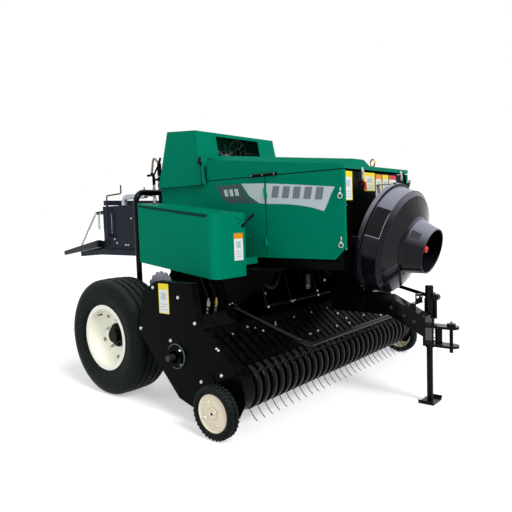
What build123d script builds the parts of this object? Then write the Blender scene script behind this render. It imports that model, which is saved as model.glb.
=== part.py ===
"""Small square baler, in-line type: pickup in front, bale chamber on the centre line.

Millimetres. +Z is up, the hitch points to -Y, +X is the machine's left side.
The origin is on the ground at the centre of the outline. Distances along the machine
are measured from the main axle, rearwards positive, and at_axle() moves them there.
"""

from math import cos, radians, sin, sqrt
import os

from build123d import *

# ---------------------------------------------------------------- overall sizes
HITCH_REACH = 1942.0        # axle to the front tip of the hitch
CHUTE_REACH = 1890.0        # axle to the rear tip of the bale chute
AXLE_Y = (HITCH_REACH - CHUTE_REACH) / 2
SIDES = {"right": -1, "left": 1}

# wheels
TYRE_R = 380.0
TYRE_W = 264.0
TRACK_HALF = 856.0          # centre line to the middle of a main tyre
RIM_SEAT_R = 194.0
RIM_FLANGE_R = 216.0
RIM_W = 236.0
RIM_T = 6.0
DISH_DEPTH = 104.0          # rim edge to the wheel disc
HUB_R = 62.0
HUB_FLANGE_R = 78.0
HUB_CAP_R = 43.0
HUB_LENGTH = 47.0           # wheel disc to the hub's outer end
SPINDLE_R = 28.0
AXLE_SIZE = 90.0
AXLE_HALF = 690.0

GAUGE_R = 142.5
GAUGE_W = 66.0
GAUGE_DISC_R = 100.5
GAUGE_OUT = 1103.0          # centre line to the outer face of a gauge wheel
GAUGE_Y = -1083.0
GAUGE_PIN_R = 12.0

# bale chamber
BALE_W = 460.0
BALE_H = 360.0
WALL = 5.0
FLOOR_Z = 895.0             # top face of the chamber floor
CHAMBER_REAR = 1034.0
CHAMBER_FRONT = -1120.0
ROOF_END = 560.0            # rear end of the closed chamber roof
FEED_HALF = BALE_W / 2 - 25 # feed opening in the chamber floor
FEED_Y = (-725.0, -520.0)
RAIL_H = 44.0
RAIL_W = 36.0
FRAME_IN = BALE_W / 2 + WALL
FRAME_BOTTOM = FLOOR_Z - WALL - RAIL_H
CHAMBER_TOP = FLOOR_Z + BALE_H
CHUTE_PIN = (CHAMBER_REAR + 30, FLOOR_Z + 47)
CHUTE_PIN_R = 12.0
CHUTE_LUG_T = 8.0
CHUTE_HALF_REAR = 83.0
CHUTE_TIP_Z = 852.0
CHUTE_TUBE = 38.0
CHUTE_DEPTH = 62.0          # height of an arm at its pin
RAIL_REACH = CHAMBER_REAR + 320
CHUTE_BAR = 280.0           # front cross bar behind the pin
CHUTE_HALF_FRONT = FRAME_IN + CHUTE_LUG_T + 10 + CHUTE_TUBE / 2
TENSION_Y = 900.0
CRANK_R = 6.0
TENSION_Z = CHAMBER_TOP + 12

# body panels
PANEL_T = 3.0
BODY_HALF = 407.0
BODY_FRONT = -1468.0
BODY_BOTTOM = 880.0
DOOR_SEAM_Y = -919.0
BODY_REAR = 42.0
SHIELD_TOP = 1375.0
CHAMFER = 62.0
SEAM_GAP = 6.0
COVER_FRONT_TOP = 1404.0
COVER_REAR_TOP = 1519.0
COVER_REAR = -424.0
PANEL_GAP = 8.0             # front panel behind the front edge of the doors
FRONT_T = 4.0
FRAME_LOW = BODY_BOTTOM - 60
GEARBOX_SEAT = BODY_BOTTOM - 10
COVER_HINGE_Y = COVER_REAR + 9
COVER_HINGE_Z = COVER_REAR_TOP + 3
COVER_HINGE_X = 200.0
DOOR_HINGE_LOW = BODY_BOTTOM + 70
DOOR_HINGE_HIGH = SHIELD_TOP - 130
HINGE_R = 8.0
HINGE_PIN_R = 4.0
KNUCKLE = 30.0

# knotter hood
HOOD_BOTTOM = 1357.0
HOOD_TOP_FRONT = 1723.0
HOOD_TOP_REAR = 1745.0
HOOD_HALF_TOP = BODY_HALF + 10
HOOD_HALF_BOTTOM = BODY_HALF + 30
HOOD_FRONT_BOTTOM = -406.0
HOOD_FRONT_TOP = -336.0
HOOD_REAR_TOP = -56.0
HOOD_REAR_BOTTOM = 38.0
WINDOW_HALF = 228.0
WINDOW_Z = (1500.0, 1698.0)
HOOD_HINGE_Y = HOOD_REAR_BOTTOM + 12
FAN_Y = -235.0
FAN_Z = 1575.0
FAN_HUB = 26.0
FAN_BLADES = 6
STRAND_X = 110.0            # centre line to each strand of twine
KNOTTER_Y = -150.0
KNOTTER_Z = 1450.0
KNOTTER_R = 105.0
KNOTTER_SHAFT_R = 20.0
NEEDLE_Y = -190.0

# twine boxes
BOX_IN = BODY_HALF + 155
BOX_OUT = BOX_IN + 264
BOX_REAR = -212.0
BOX_FRONT = -880.0
BOX_SLOPE = (1240.0 - 1157.0) / (BOX_REAR - BOX_FRONT)
BOX_TOP_FRONT = 1157.0
BOX_DEPTH = 374.0
BOX_LID = 26.0
BOX_EDGE_R = 52.0           # rounded outer edge at the front
BOX_HINGE_DROP = 13.0

# flywheel guard, on an axis that points down to the front
GUARD_TILT = 15.6
GUARD_Y = -1497.0
GUARD_Z = 986.0
GUARD_FLANGE_R = 331.0
GUARD_DRUM_R = 307.0
GUARD_DEPTH = 145.0
SNOUT_LENGTH = 307.0
SNOUT_R = 132.0
SNOUT_BASE_R = 166.0
GUARD_T = 6.0
FLYWHEEL_R = 255.0
FLYWHEEL_T = 60.0
SHAFT_R = 22.0

# drawbar
TONGUE_W = 95.0
TONGUE_H = 115.0
TONGUE_T = 8.0
TONGUE_FRONT = (-1752.0, 476.0)
TONGUE_BEND = (-1540.0, 582.0)
TONGUE_REAR = -1150.0
WEB_T = 16.0
HITCH_UPPER = 485.0         # top face of the upper hitch plate
HITCH_LOWER = 379.0
HITCH_T = 14.0
HITCH_W = 84.0
HITCH_PIN_Y = -1899.0
HITCH_PIN_R = 10.0
SLEEVE_Y = -1827.0
JACK_X = 79.0
JACK_Y = -1741.0
JACK_TOP = 694.0
JACK_TUBE_R = 24.0
JACK_LEG_R = 18.0
JACK_TUBE_BOTTOM = 330.0
JACK_FOOT_HALF = (62.0, 45.0)
JACK_FOOT_T = 8.0
JACK_BOSS_Z = 634.0
BRACE_R = 11.0
BRACE_END = (240.0, -1345.0)

# pickup
PICKUP_HALF = 997.0         # outer faces of the side plates
SIDE_T = 4.0
PIVOT_Y = -722.0
PIVOT_Z = 368.0
PIVOT_R = 30.0
DRUM_Y = -1090.0
DRUM_Z = 237.0
DRUM_R = 127.0
TINE_R = 214.0
DECK_END = (-930.0, 520.0)
BELLY_REAR = -846.0
BAND_T = 2.5
BAND_COUNT = 28
BAND_W = 42.0
CAP_W = 92.0
REEL_R = 22.0
TINE_BARS = 4
BAR_ORBIT = 88.0
BAR_R = 11.0
TINE_D = 5.0
TINE_LEAN = 14.0
TINE_START = 53.0           # angle of the first tine bar at rest
REEL_DISC_R = 108.0
POST_HALF = 60.0
BACK_SHEET_TOP = 445.0      # upright part of the sheet behind the tines

FEEDER_HALF = 560.0
WINDGUARD_HALF = 655.0
WINDGUARD_PIVOT = (-850.0, 600.0)
WINDGUARD_BAR = (-1335.0, 425.0)
WINDGUARD_R = 13.0
WINDGUARD_PIN_R = 8.0
FINGER_PITCH = 90
FINGER_R = 3.0

# pieces round the chamber
HOOP_X = 594.0
HOOP_Y = 102.0
HOOP_TOP = 1330.0
HOOP_R = 20.0
PIPE_R = 21.0
PIPE_X = WALL / 2 - FRAME_IN
PIPE_Y = 730.0
TRIP_X = -FRAME_IN - 27
TRIP_Y = 230.0
TRIP_TOP = 1560.0
SPROCKET_X = -646.0
SPROCKET_Y = -200.0
SPROCKET_Z = 650.0
SPROCKET_R = 140.0
SPROCKET_T = 10.0
SPROCKET_TEETH = 18
SPROCKET_PIN_R = 14.0

RUN_CLEARANCE = 0.5
SEAT = 0.3


def at_axle(shape):
    """Moves a shape whose y values start at the axle to its place on the machine."""
    return Pos(0, AXLE_Y, 0) * shape


def save(name, *shapes):
    """Writes one sub-part to parts/NAME.step."""
    solids = [solid for shape in shapes for solid in shape.solids()]
    part = solids[0] if len(solids) == 1 else Compound(children=solids)
    part = at_axle(part)
    part.label = name
    export_step(part, f"parts/{name}.step")


def block(x, y, z):
    """A box from pairs of limits."""
    size = (x[1] - x[0], y[1] - y[0], z[1] - z[0])
    return Pos(x[0], y[0], z[0]) * Box(*size, align=(Align.MIN, Align.MIN, Align.MIN))


def span(side, near, far):
    """The x limits of a piece on one side, from its distances to the centre line."""
    return tuple(sorted((side * near, side * far)))


def side_sheet(points, x):
    """A flat plate: its outline in y and z, between two x values."""
    face = Plane.YZ.offset(x[0]) * make_face(Polyline(*points, close=True))
    return extrude(face, x[1] - x[0])


def rod(a, b, r):
    """A round bar between two points."""
    a, b = Vector(*a), Vector(*b)
    plane = Plane(origin=a, z_dir=(b - a).normalized())
    return plane.location * Cylinder(r, (b - a).length,
                                     align=(Align.CENTER, Align.CENTER, Align.MIN))


def disc_x(r, x, y, z, bore=0.0):
    """A round plate or tube across the machine."""
    solid = rod((x[0], y, z), (x[1], y, z), r)
    return solid - rod((x[0] - 1, y, z), (x[1] + 1, y, z), bore) if bore else solid


def pipe(points, radius, bend):
    """A bent round tube through a few points, with one bend radius."""
    path = FilletPolyline(*points, radius=bend)
    start = Plane(origin=path @ 0, z_dir=path % 0)
    return sweep(start * Circle(radius), path=path)


def beam(a, b, width, height, wall=0.0):
    """A box section between two points, level across the machine."""
    a, b = Vector(*a), Vector(*b)
    plane = Plane(origin=a, x_dir=(1, 0, 0), z_dir=(b - a).normalized())
    low = (Align.CENTER, Align.CENTER, Align.MIN)
    solid = Box(width, height, (b - a).length, align=low)
    if wall:
        solid -= Box(width - 2 * wall, height - 2 * wall, (b - a).length, align=low)
    return plane.location * solid


def revolve_x(points, x, y, z):
    """A turned piece on an axis across the machine: points are (along, radius)."""
    face = Plane.XZ * make_face(Polyline(*points, close=True))
    return Pos(x, y, z) * revolve(face, Axis.X)


# ---------------------------------------------------------------- wheels
def main_wheel(name, side):
    half = TYRE_W / 2
    shoulder = 26.0
    bead = RIM_W / 2 - 2 * RIM_T
    tyre = [(-bead, RIM_SEAT_R), (bead, RIM_SEAT_R), (half - 14, RIM_SEAT_R + 50),
            (half, TYRE_R - 96), (half - 8, TYRE_R - shoulder), (half - 34, TYRE_R),
            (34 - half, TYRE_R), (8 - half, TYRE_R - shoulder), (-half, TYRE_R - 96),
            (14 - half, RIM_SEAT_R + 50)]
    save(f"tyre_{name}", revolve_x(tyre, side * TRACK_HALF, 0, TYRE_R))

    out = RIM_W / 2
    disc = out - DISH_DEPTH
    seat = RIM_SEAT_R - SEAT
    rim = [(-out, RIM_FLANGE_R), (-out, seat - RIM_T), (disc - RIM_T, seat - RIM_T),
           (disc - RIM_T, HUB_R), (disc + 2, HUB_R), (disc + 2, seat - RIM_T),
           (out, seat - RIM_T), (out, RIM_FLANGE_R), (out - RIM_T, RIM_FLANGE_R),
           (out - RIM_T, seat), (RIM_T - out, seat), (RIM_T - out, RIM_FLANGE_R)]
    if side < 0:
        rim = [(-along, radius) for along, radius in rim]
    save(f"rim_{name}", revolve_x(rim, side * TRACK_HALF, 0, TYRE_R))

    bore = SPINDLE_R + RUN_CLEARANCE
    hub_in = TRACK_HALF - 62
    hub_out = TRACK_HALF + disc + HUB_LENGTH
    face = TRACK_HALF + disc + 2
    hub = disc_x(HUB_R - SEAT, span(side, hub_in, face), 0, TYRE_R)
    hub += disc_x(HUB_FLANGE_R, span(side, face, face + 8), 0, TYRE_R)
    hub += disc_x(HUB_CAP_R, span(side, face, hub_out), 0, TYRE_R)
    save(f"hub_{name}", hub - disc_x(bore, span(side, hub_in - 1, hub_out - 12), 0, TYRE_R))


def axle():
    """Square axle beam, spindles and the two stands that carry the chamber."""
    half = AXLE_SIZE / 2
    tube = block((-AXLE_HALF, AXLE_HALF), (-half, half), (TYRE_R - half, TYRE_R + half))
    tip = TRACK_HALF + RIM_W / 2 - DISH_DEPTH + HUB_LENGTH - 14
    tube += rod((-tip, 0, TYRE_R), (tip, 0, TYRE_R), SPINDLE_R)
    for side in SIDES.values():
        stand = side_sheet([(-110, FRAME_BOTTOM), (110, FRAME_BOTTOM),
                            (half, TYRE_R + half), (-half, TYRE_R + half)],
                           span(side, FRAME_IN, FRAME_IN + 12))
        web = block(span(side, FRAME_IN + 12, FRAME_IN + 60), (-6, 6),
                    (TYRE_R + half, FRAME_BOTTOM))
        tube += stand + web
    save("axle_beam", tube)


def gauge_wheel(name, side):
    half = GAUGE_W / 2
    centre = side * (GAUGE_OUT - half)
    tyre = [(-half + 10, GAUGE_DISC_R), (half - 10, GAUGE_DISC_R), (half, GAUGE_R - 26),
            (half - 8, GAUGE_R - 5), (half - 22, GAUGE_R), (22 - half, GAUGE_R),
            (8 - half, GAUGE_R - 5), (-half, GAUGE_R - 26)]
    save(f"gauge_tyre_{name}", revolve_x(tyre, centre, GAUGE_Y, GAUGE_R))
    bore = GAUGE_PIN_R + RUN_CLEARANCE
    disc = disc_x(GAUGE_DISC_R - SEAT, span(side, GAUGE_OUT - 22, GAUGE_OUT - 12),
                  GAUGE_Y, GAUGE_R, bore)
    rim = disc_x(GAUGE_DISC_R - SEAT, span(side, GAUGE_OUT - GAUGE_W + 8, GAUGE_OUT - 8),
                 GAUGE_Y, GAUGE_R, GAUGE_DISC_R - 6)
    hub = disc_x(26, span(side, GAUGE_OUT - GAUGE_W + 4, GAUGE_OUT - 6), GAUGE_Y, GAUGE_R,
                 bore)
    save(f"gauge_disc_{name}", disc + rim + hub)


# ---------------------------------------------------------------- chamber and frame
def chamber():
    inner = BALE_W / 2
    for name, side in SIDES.items():
        wall = block(span(side, inner, inner + WALL), (CHAMBER_FRONT, CHAMBER_REAR),
                     (FLOOR_Z - WALL, CHAMBER_TOP + WALL))
        rail = block(span(side, FRAME_IN, FRAME_IN + RAIL_W),
                     (CHAMBER_FRONT, CHAMBER_REAR),
                     (FRAME_BOTTOM, FRAME_BOTTOM + RAIL_H))
        y, z = CHUTE_PIN
        x = span(side, FRAME_IN, FRAME_IN + CHUTE_LUG_T)
        lug = block(x, (y - 110, y + 16), (z - 24, z + 24))
        pin_end = CHUTE_HALF_FRONT + CHUTE_TUBE / 2 + 4
        pin = disc_x(CHUTE_PIN_R, span(side, FRAME_IN, pin_end), y, z)
        mid = side * (FRAME_IN + RAIL_W / 2)
        tail = beam((mid, CHAMBER_REAR - 1, FRAME_BOTTOM + RAIL_H / 2),
                    (mid, RAIL_REACH, FRAME_BOTTOM), RAIL_W, RAIL_H)
        save(f"chamber_wall_{name}", wall + rail + tail + lug + pin)
    floor = block((-inner, inner), (CHAMBER_FRONT + 180, CHAMBER_REAR),
                  (FLOOR_Z - WALL, FLOOR_Z))
    ribs = [block((-inner, inner), (y, y + 40), (FRAME_BOTTOM, FLOOR_Z - WALL))
            for y in (-940, -500, -20, 420, 940)]
    slots = [block((x - 12, x + 12), (-330, -60), (FLOOR_Z - WALL - 1, FLOOR_Z + 1))
             for x in (-STRAND_X, STRAND_X)]
    feed = block((-FEED_HALF, FEED_HALF), FEED_Y, (FLOOR_Z - WALL - 1, FLOOR_Z + 1))
    save("chamber_floor", floor - slots - feed + ribs)
    roof = block((-inner, inner), (CHAMBER_FRONT, ROOF_END), (CHAMBER_TOP, CHAMBER_TOP + WALL))
    slots = [block((x - 14, x + 14), (-330, 40), (CHAMBER_TOP - 1, CHAMBER_TOP + WALL + 1))
             for x in (-STRAND_X, STRAND_X)]
    save("chamber_roof", roof - slots)


def density_rails():
    """Two tension rails over the open rear end, squeezed by a beam on two screws."""
    rails = [block(span(side, 60, 130), (ROOF_END + 6, CHAMBER_REAR),
                   (CHAMBER_TOP - 34, CHAMBER_TOP + 6)) for side in SIDES.values()]
    beam_z = (TENSION_Z, TENSION_Z + 40)
    bar = block((-FRAME_IN - 46, FRAME_IN + 46), (TENSION_Y, TENSION_Y + 50), beam_z)
    pads = [block(span(side, 60, 130), (TENSION_Y, TENSION_Y + 50),
                  (CHAMBER_TOP + 6, TENSION_Z)) for side in SIDES.values()]
    gear = bar + pads + rails
    for side in SIDES.values():
        x = side * (FRAME_IN + 30)
        y = TENSION_Y + 25
        low = CHAMBER_TOP - 260
        lug = block(span(side, FRAME_IN, FRAME_IN + 50), (y - 20, y + 20), (low, low + 30))
        screw = rod((x, y, low + 30), (x, y, TENSION_Z), 9)
        top = TENSION_Z + 40
        dy = 120 * side if side < 0 else 85
        points = [(x, y, top), (x, y, top + 40), (x - 60 * side, y + dy, top + 55),
                  (x - 60 * side, y + dy, top + 125)]
        hook = side_sheet([(y - 20, CHAMBER_TOP - 55), (CHAMBER_REAR + 86, CHAMBER_TOP - 65),
                           (CHAMBER_REAR + 106, CHAMBER_TOP - 40), (y - 20, CHAMBER_TOP - 20)],
                          span(side, FRAME_IN, FRAME_IN + CHUTE_LUG_T))
        gear += lug + screw + hook + pipe(points, CRANK_R, 12)
    save("tension_gear", gear)


def hinge_knuckle(start, axis):
    """The bored half of a hinge: the first of its two knuckles along the axis."""
    plane = Plane(origin=start, z_dir=axis)
    low = (Align.CENTER, Align.CENTER, Align.MIN)
    return plane.location * (Cylinder(HINGE_R, KNUCKLE - SEAT, align=low)
                             - Cylinder(HINGE_PIN_R + SEAT, KNUCKLE, align=low))


def hinge_base(start, axis):
    """The fixed half of a hinge: its second knuckle, with the pin."""
    plane = Plane(origin=start, z_dir=axis)
    low = (Align.CENTER, Align.CENTER, Align.MIN)
    return plane.location * (Pos(0, 0, KNUCKLE) * Cylinder(HINGE_R, KNUCKLE, align=low)
                             + Cylinder(HINGE_PIN_R, 2 * KNUCKLE, align=low))


def body_frame():
    """Rails and posts that carry the panels, the front frame and the gearbox."""
    low = FRAME_LOW
    inner, outer = BODY_HALF - 60, BODY_HALF - PANEL_T - SEAT
    front = BODY_FRONT + PANEL_GAP + FRONT_T
    rear = COVER_REAR - 11
    frame = block((-inner, inner), (rear, rear + 40), (HOOD_BOTTOM - 52, HOOD_BOTTOM - 12))
    frame += block((-inner, inner), (front, front + 40), (SHIELD_TOP - 60, SHIELD_TOP - 20))
    for y in (front + 20, -1310, -1190):
        frame += block((-inner, inner), (y, y + 40), (low, GEARBOX_SEAT))
    for side in SIDES.values():
        x = span(side, inner, outer)
        frame += block(x, (front, -300), (low, low + 50))
        for y in (front, DOOR_SEAM_Y + 10):
            frame += block(x, (y, y + 40), (low, SHIELD_TOP - 20))
        frame += block(x, (rear, rear + 40), (low, HOOD_BOTTOM - 12))
        y0, y1 = front + 4, front + 34
        frame += side_sheet([(y0, SHIELD_TOP - 20), (y1, SHIELD_TOP - 20),
                             (y1, cover_top(y1) - PANEL_T - SEAT),
                             (y0, cover_top(y0) - PANEL_T - SEAT)],
                            span(side, outer - 24, outer - 4))
        for y in (-900, -340):
            frame += block(span(side, FRAME_IN + RAIL_W, inner), (y, y + 40),
                           (FRAME_BOTTOM, low + 50))
        x = side * COVER_HINGE_X
        frame += block((x + 2, x + KNUCKLE - 2), (COVER_HINGE_Y - 4, COVER_HINGE_Y + 4),
                       (HOOD_BOTTOM - 52, COVER_HINGE_Z))
        frame += hinge_base((x - KNUCKLE, COVER_HINGE_Y, COVER_HINGE_Z), (1, 0, 0))
    save("body_frame", frame)


def feeder_housing():
    """Open-fronted feed chamber between pickup and bale chamber."""
    half = FEEDER_HALF
    top = FRAME_LOW
    points = [(-1080, top), (-1080, 780), (-800, 600), (-790, 450), (-640, 430),
              (-470, 600), (-470, top)]
    sides = [side_sheet(points, span(side, half - 5, half)) for side in SIDES.values()]
    inner = half - 5
    roof = block((-inner, inner), (-1080, CHAMBER_FRONT + 180), (top - 6, top))
    wings = [block(span(side, BALE_W / 2, inner), (CHAMBER_FRONT + 180, -470), (top - 6, top))
             for side in SIDES.values()]
    back = side_sheet([(-790, 450), (-640, 430), (-470, 600), (-470, top - 6),
                       (-476, top - 6), (-476, 602), (-643, 436), (-790, 456)],
                      (-inner, inner))
    save("feeder_housing", sides[0] + sides[1] + roof + back + wings)
    hanger = []
    for side in SIDES.values():
        hanger.append(side_sheet([(-780, 500), (-640, 500), (-690, 360), (-754, 360)],
                                 span(side, half, half + 12)))
    tube = disc_x(PIVOT_R - 4, (-PICKUP_HALF - 10, PICKUP_HALF + 10), PIVOT_Y, PIVOT_Z)
    stubs = [disc_x(17, span(side, PICKUP_HALF + 10, PICKUP_HALF + 70), PIVOT_Y, PIVOT_Z)
             for side in SIDES.values()]
    save("pickup_pivot_tube", tube + stubs + hanger)


def front_frame():
    """Black front panel with the flywheel opening, and the gearbox behind it."""
    y = (BODY_FRONT + PANEL_GAP, BODY_FRONT + PANEL_GAP + FRONT_T)
    panel = block((-BODY_HALF + 12, BODY_HALF - 12), y, (BODY_BOTTOM, SHIELD_TOP - 6))
    hole = Pos(0, sum(y) / 2, GUARD_Z) * Rot(90, 0, 0) * Cylinder(150, 60)
    save("front_panel", panel - hole)
    plane = guard_plane()
    box = Box(300, 300, 260, align=(Align.CENTER, Align.CENTER, Align.MAX))
    nose = Cylinder(62, 170 - SEAT, align=(Align.CENTER, Align.CENTER, Align.MIN))
    gearbox = plane.location * (Pos(0, 0, -150) * (box + nose))
    gearbox += block((-150, 150), (-1300, -1160), (GEARBOX_SEAT, 960))
    save("gearbox", gearbox)


def guard_plane(along=0.0):
    """The plane across the flywheel axis, a distance forward of the guard's flange."""
    tilt = radians(GUARD_TILT)
    axis = Vector(0, -cos(tilt), -sin(tilt))
    origin = Vector(0, GUARD_Y, GUARD_Z) + axis * along
    return Plane(origin=origin, x_dir=(1, 0, 0), z_dir=axis)


def turned(points, along=0.0):
    """A turned piece on the flywheel axis: points are (radius, forward)."""
    face = Plane.XZ * make_face(Polyline(*points, close=True))
    return guard_plane(along).location * revolve(face, Axis.Z)


def flywheel_and_guard():
    t = GUARD_T
    cone = GUARD_DEPTH + 26
    base = GUARD_DEPTH + 44
    outer = [(GUARD_FLANGE_R, 0), (GUARD_FLANGE_R, 26), (GUARD_DRUM_R + 8, 30),
             (GUARD_DRUM_R, GUARD_DEPTH - 22), (GUARD_DRUM_R - 22, GUARD_DEPTH),
             (SNOUT_BASE_R + 10, base), (SNOUT_BASE_R - 6, base + 14),
             (SNOUT_R, SNOUT_LENGTH)]
    inner = [(SNOUT_R - t, SNOUT_LENGTH), (SNOUT_BASE_R - 6 - t, base + 12),
             (SNOUT_BASE_R + 8, base - t), (GUARD_DRUM_R - 25, GUARD_DEPTH - t),
             (GUARD_DRUM_R - t, GUARD_DEPTH - 24), (GUARD_DRUM_R + 8 - t, 24),
             (GUARD_FLANGE_R - t, 20), (GUARD_FLANGE_R - t, 0)]
    guard = turned(outer + inner)
    back = BODY_FRONT + PANEL_GAP
    for side in SIDES.values():
        guard += block(span(side, GUARD_FLANGE_R - 36, GUARD_FLANGE_R - t / 2),
                       (GUARD_Y - 4, back), (GUARD_Z - 20, GUARD_Z + 20))
    top = guard_plane(6).location * Pos(0, GUARD_FLANGE_R - t / 2, 0)
    y, z = top.position.Y, top.position.Z
    guard += block((-20, 20), (y, back), (z - 4, z))
    save("flywheel_guard", guard)
    wheel = [(0, 20), (FLYWHEEL_R - 40, 20), (FLYWHEEL_R - 40, 8), (FLYWHEEL_R, 8),
             (FLYWHEEL_R, 8 + FLYWHEEL_T), (FLYWHEEL_R - 40, 8 + FLYWHEEL_T),
             (FLYWHEEL_R - 40, 44), (52, 44), (52, 130), (SHAFT_R, 130), (SHAFT_R, 236),
             (0, 236)]
    save("flywheel", turned(wheel))
    cap = [(SHAFT_R + SEAT, 200), (SHAFT_R + 8, 200), (SHAFT_R + 8, 246), (10, 254),
           (0, 254), (0, 240), (SHAFT_R + SEAT, 240)]
    save("shaft_cap", turned(cap))


# ---------------------------------------------------------------- panels
def side_doors():
    """Hinged door and fixed panel behind it, on each side."""
    gap = SEAM_GAP / 2
    for name, side in SIDES.items():
        x = span(side, BODY_HALF - PANEL_T, BODY_HALF)
        hinge_x = side * (BODY_HALF + 5)
        leaf_x = span(side, BODY_HALF - PANEL_T, BODY_HALF + 3)
        points = [(DOOR_SEAM_Y - gap, BODY_BOTTOM), (DOOR_SEAM_Y - gap, SHIELD_TOP),
                  (BODY_FRONT, SHIELD_TOP), (BODY_FRONT, BODY_BOTTOM + CHAMFER),
                  (BODY_FRONT + CHAMFER, BODY_BOTTOM)]
        door = side_sheet(points, x)
        door += block(span(side, BODY_HALF - 22, BODY_HALF - PANEL_T),
                      (BODY_FRONT, BODY_FRONT + PANEL_T), (BODY_BOTTOM + CHAMFER, SHIELD_TOP))
        points = [(DOOR_SEAM_Y + gap, BODY_BOTTOM), (DOOR_SEAM_Y + gap, SHIELD_TOP),
                  (COVER_REAR, SHIELD_TOP), (COVER_REAR, HOOD_BOTTOM - SEAT),
                  (BODY_REAR, HOOD_BOTTOM - SEAT), (BODY_REAR, BODY_BOTTOM)]
        panel = side_sheet(points, x)
        for z in (DOOR_HINGE_LOW, DOOR_HINGE_HIGH):
            notch = block(x, (DOOR_SEAM_Y - HINGE_R - 1, DOOR_SEAM_Y + HINGE_R + 1),
                          (z - 1, z + 2 * KNUCKLE + 1))
            door -= notch
            panel -= notch
            door += block(leaf_x, (DOOR_SEAM_Y - 14, DOOR_SEAM_Y - 5), (z, z + KNUCKLE - SEAT))
            door += hinge_knuckle((hinge_x, DOOR_SEAM_Y, z), (0, 0, 1))
            door -= Pos(hinge_x, DOOR_SEAM_Y, z) * Cylinder(HINGE_PIN_R + SEAT, 3 * KNUCKLE)
            panel += block(leaf_x, (DOOR_SEAM_Y + 5, DOOR_SEAM_Y + 14),
                           (z + KNUCKLE, z + 2 * KNUCKLE))
            panel += hinge_base((hinge_x, DOOR_SEAM_Y, z), (0, 0, 1))
        bracket = block(span(side, BODY_HALF - PANEL_T - 6, BODY_HALF - PANEL_T),
                        (BODY_REAR - 30, HOOD_HINGE_Y), (HOOD_BOTTOM - 40, HOOD_BOTTOM - 1))
        along = (side, 0, 0)
        start = (side * (BODY_HALF - PANEL_T - 2 * KNUCKLE), HOOD_HINGE_Y, HOOD_BOTTOM)
        panel += bracket + hinge_base(start, along)
        save(f"side_door_{name}", door)
        save(f"rear_panel_{name}", panel)


def cover_top(y):
    """Height of the cover's top edge at a place along the machine."""
    rise = (COVER_REAR_TOP - COVER_FRONT_TOP) / (COVER_REAR - BODY_FRONT)
    return COVER_FRONT_TOP + rise * (y - BODY_FRONT)


def top_cover():
    """Front lid: sloping top with one raised channel, front and side skirts."""
    low = SHIELD_TOP + SEAM_GAP
    t = PANEL_T
    half = BODY_HALF
    y0, y1 = BODY_FRONT, COVER_REAR
    raised = [(-half + 70, 0), (-half + 110, 34), (-180, 34), (-110, 0)]
    section = [(-half, 0)] + raised + [(half, 0)]

    def outline(y, inset, bottom):
        top = cover_top(y) - inset
        upper = [(x, top + z) for x, z in section]
        upper[0] = (-half + inset, top)
        upper[-1] = (half - inset, top)
        return upper + [(half - inset, bottom), (-half + inset, bottom)]

    def solid(ys, inset, bottom):
        faces = [Plane(origin=(0, y, 0), x_dir=(1, 0, 0), z_dir=(0, -1, 0))
                 * make_face(Polyline(*outline(y, inset, bottom), close=True)) for y in ys]
        return loft(faces, ruled=True)

    shell = solid((y1, y0), 0, low) - solid((y1 - t, y0 + t), t, low - 20)
    shell -= block((-half + t, half - t), (y0 + t, y1 + 1), (low - 30, low + 12))
    for side in SIDES.values():
        x = side * COVER_HINGE_X - KNUCKLE
        shell += block((x, x + KNUCKLE - SEAT), (COVER_REAR - 12, COVER_HINGE_Y - 6),
                       (COVER_HINGE_Z - 7, COVER_HINGE_Z - 1))
        shell += hinge_knuckle((x, COVER_HINGE_Y, COVER_HINGE_Z), (1, 0, 0))
    save("top_cover", shell)


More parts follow.
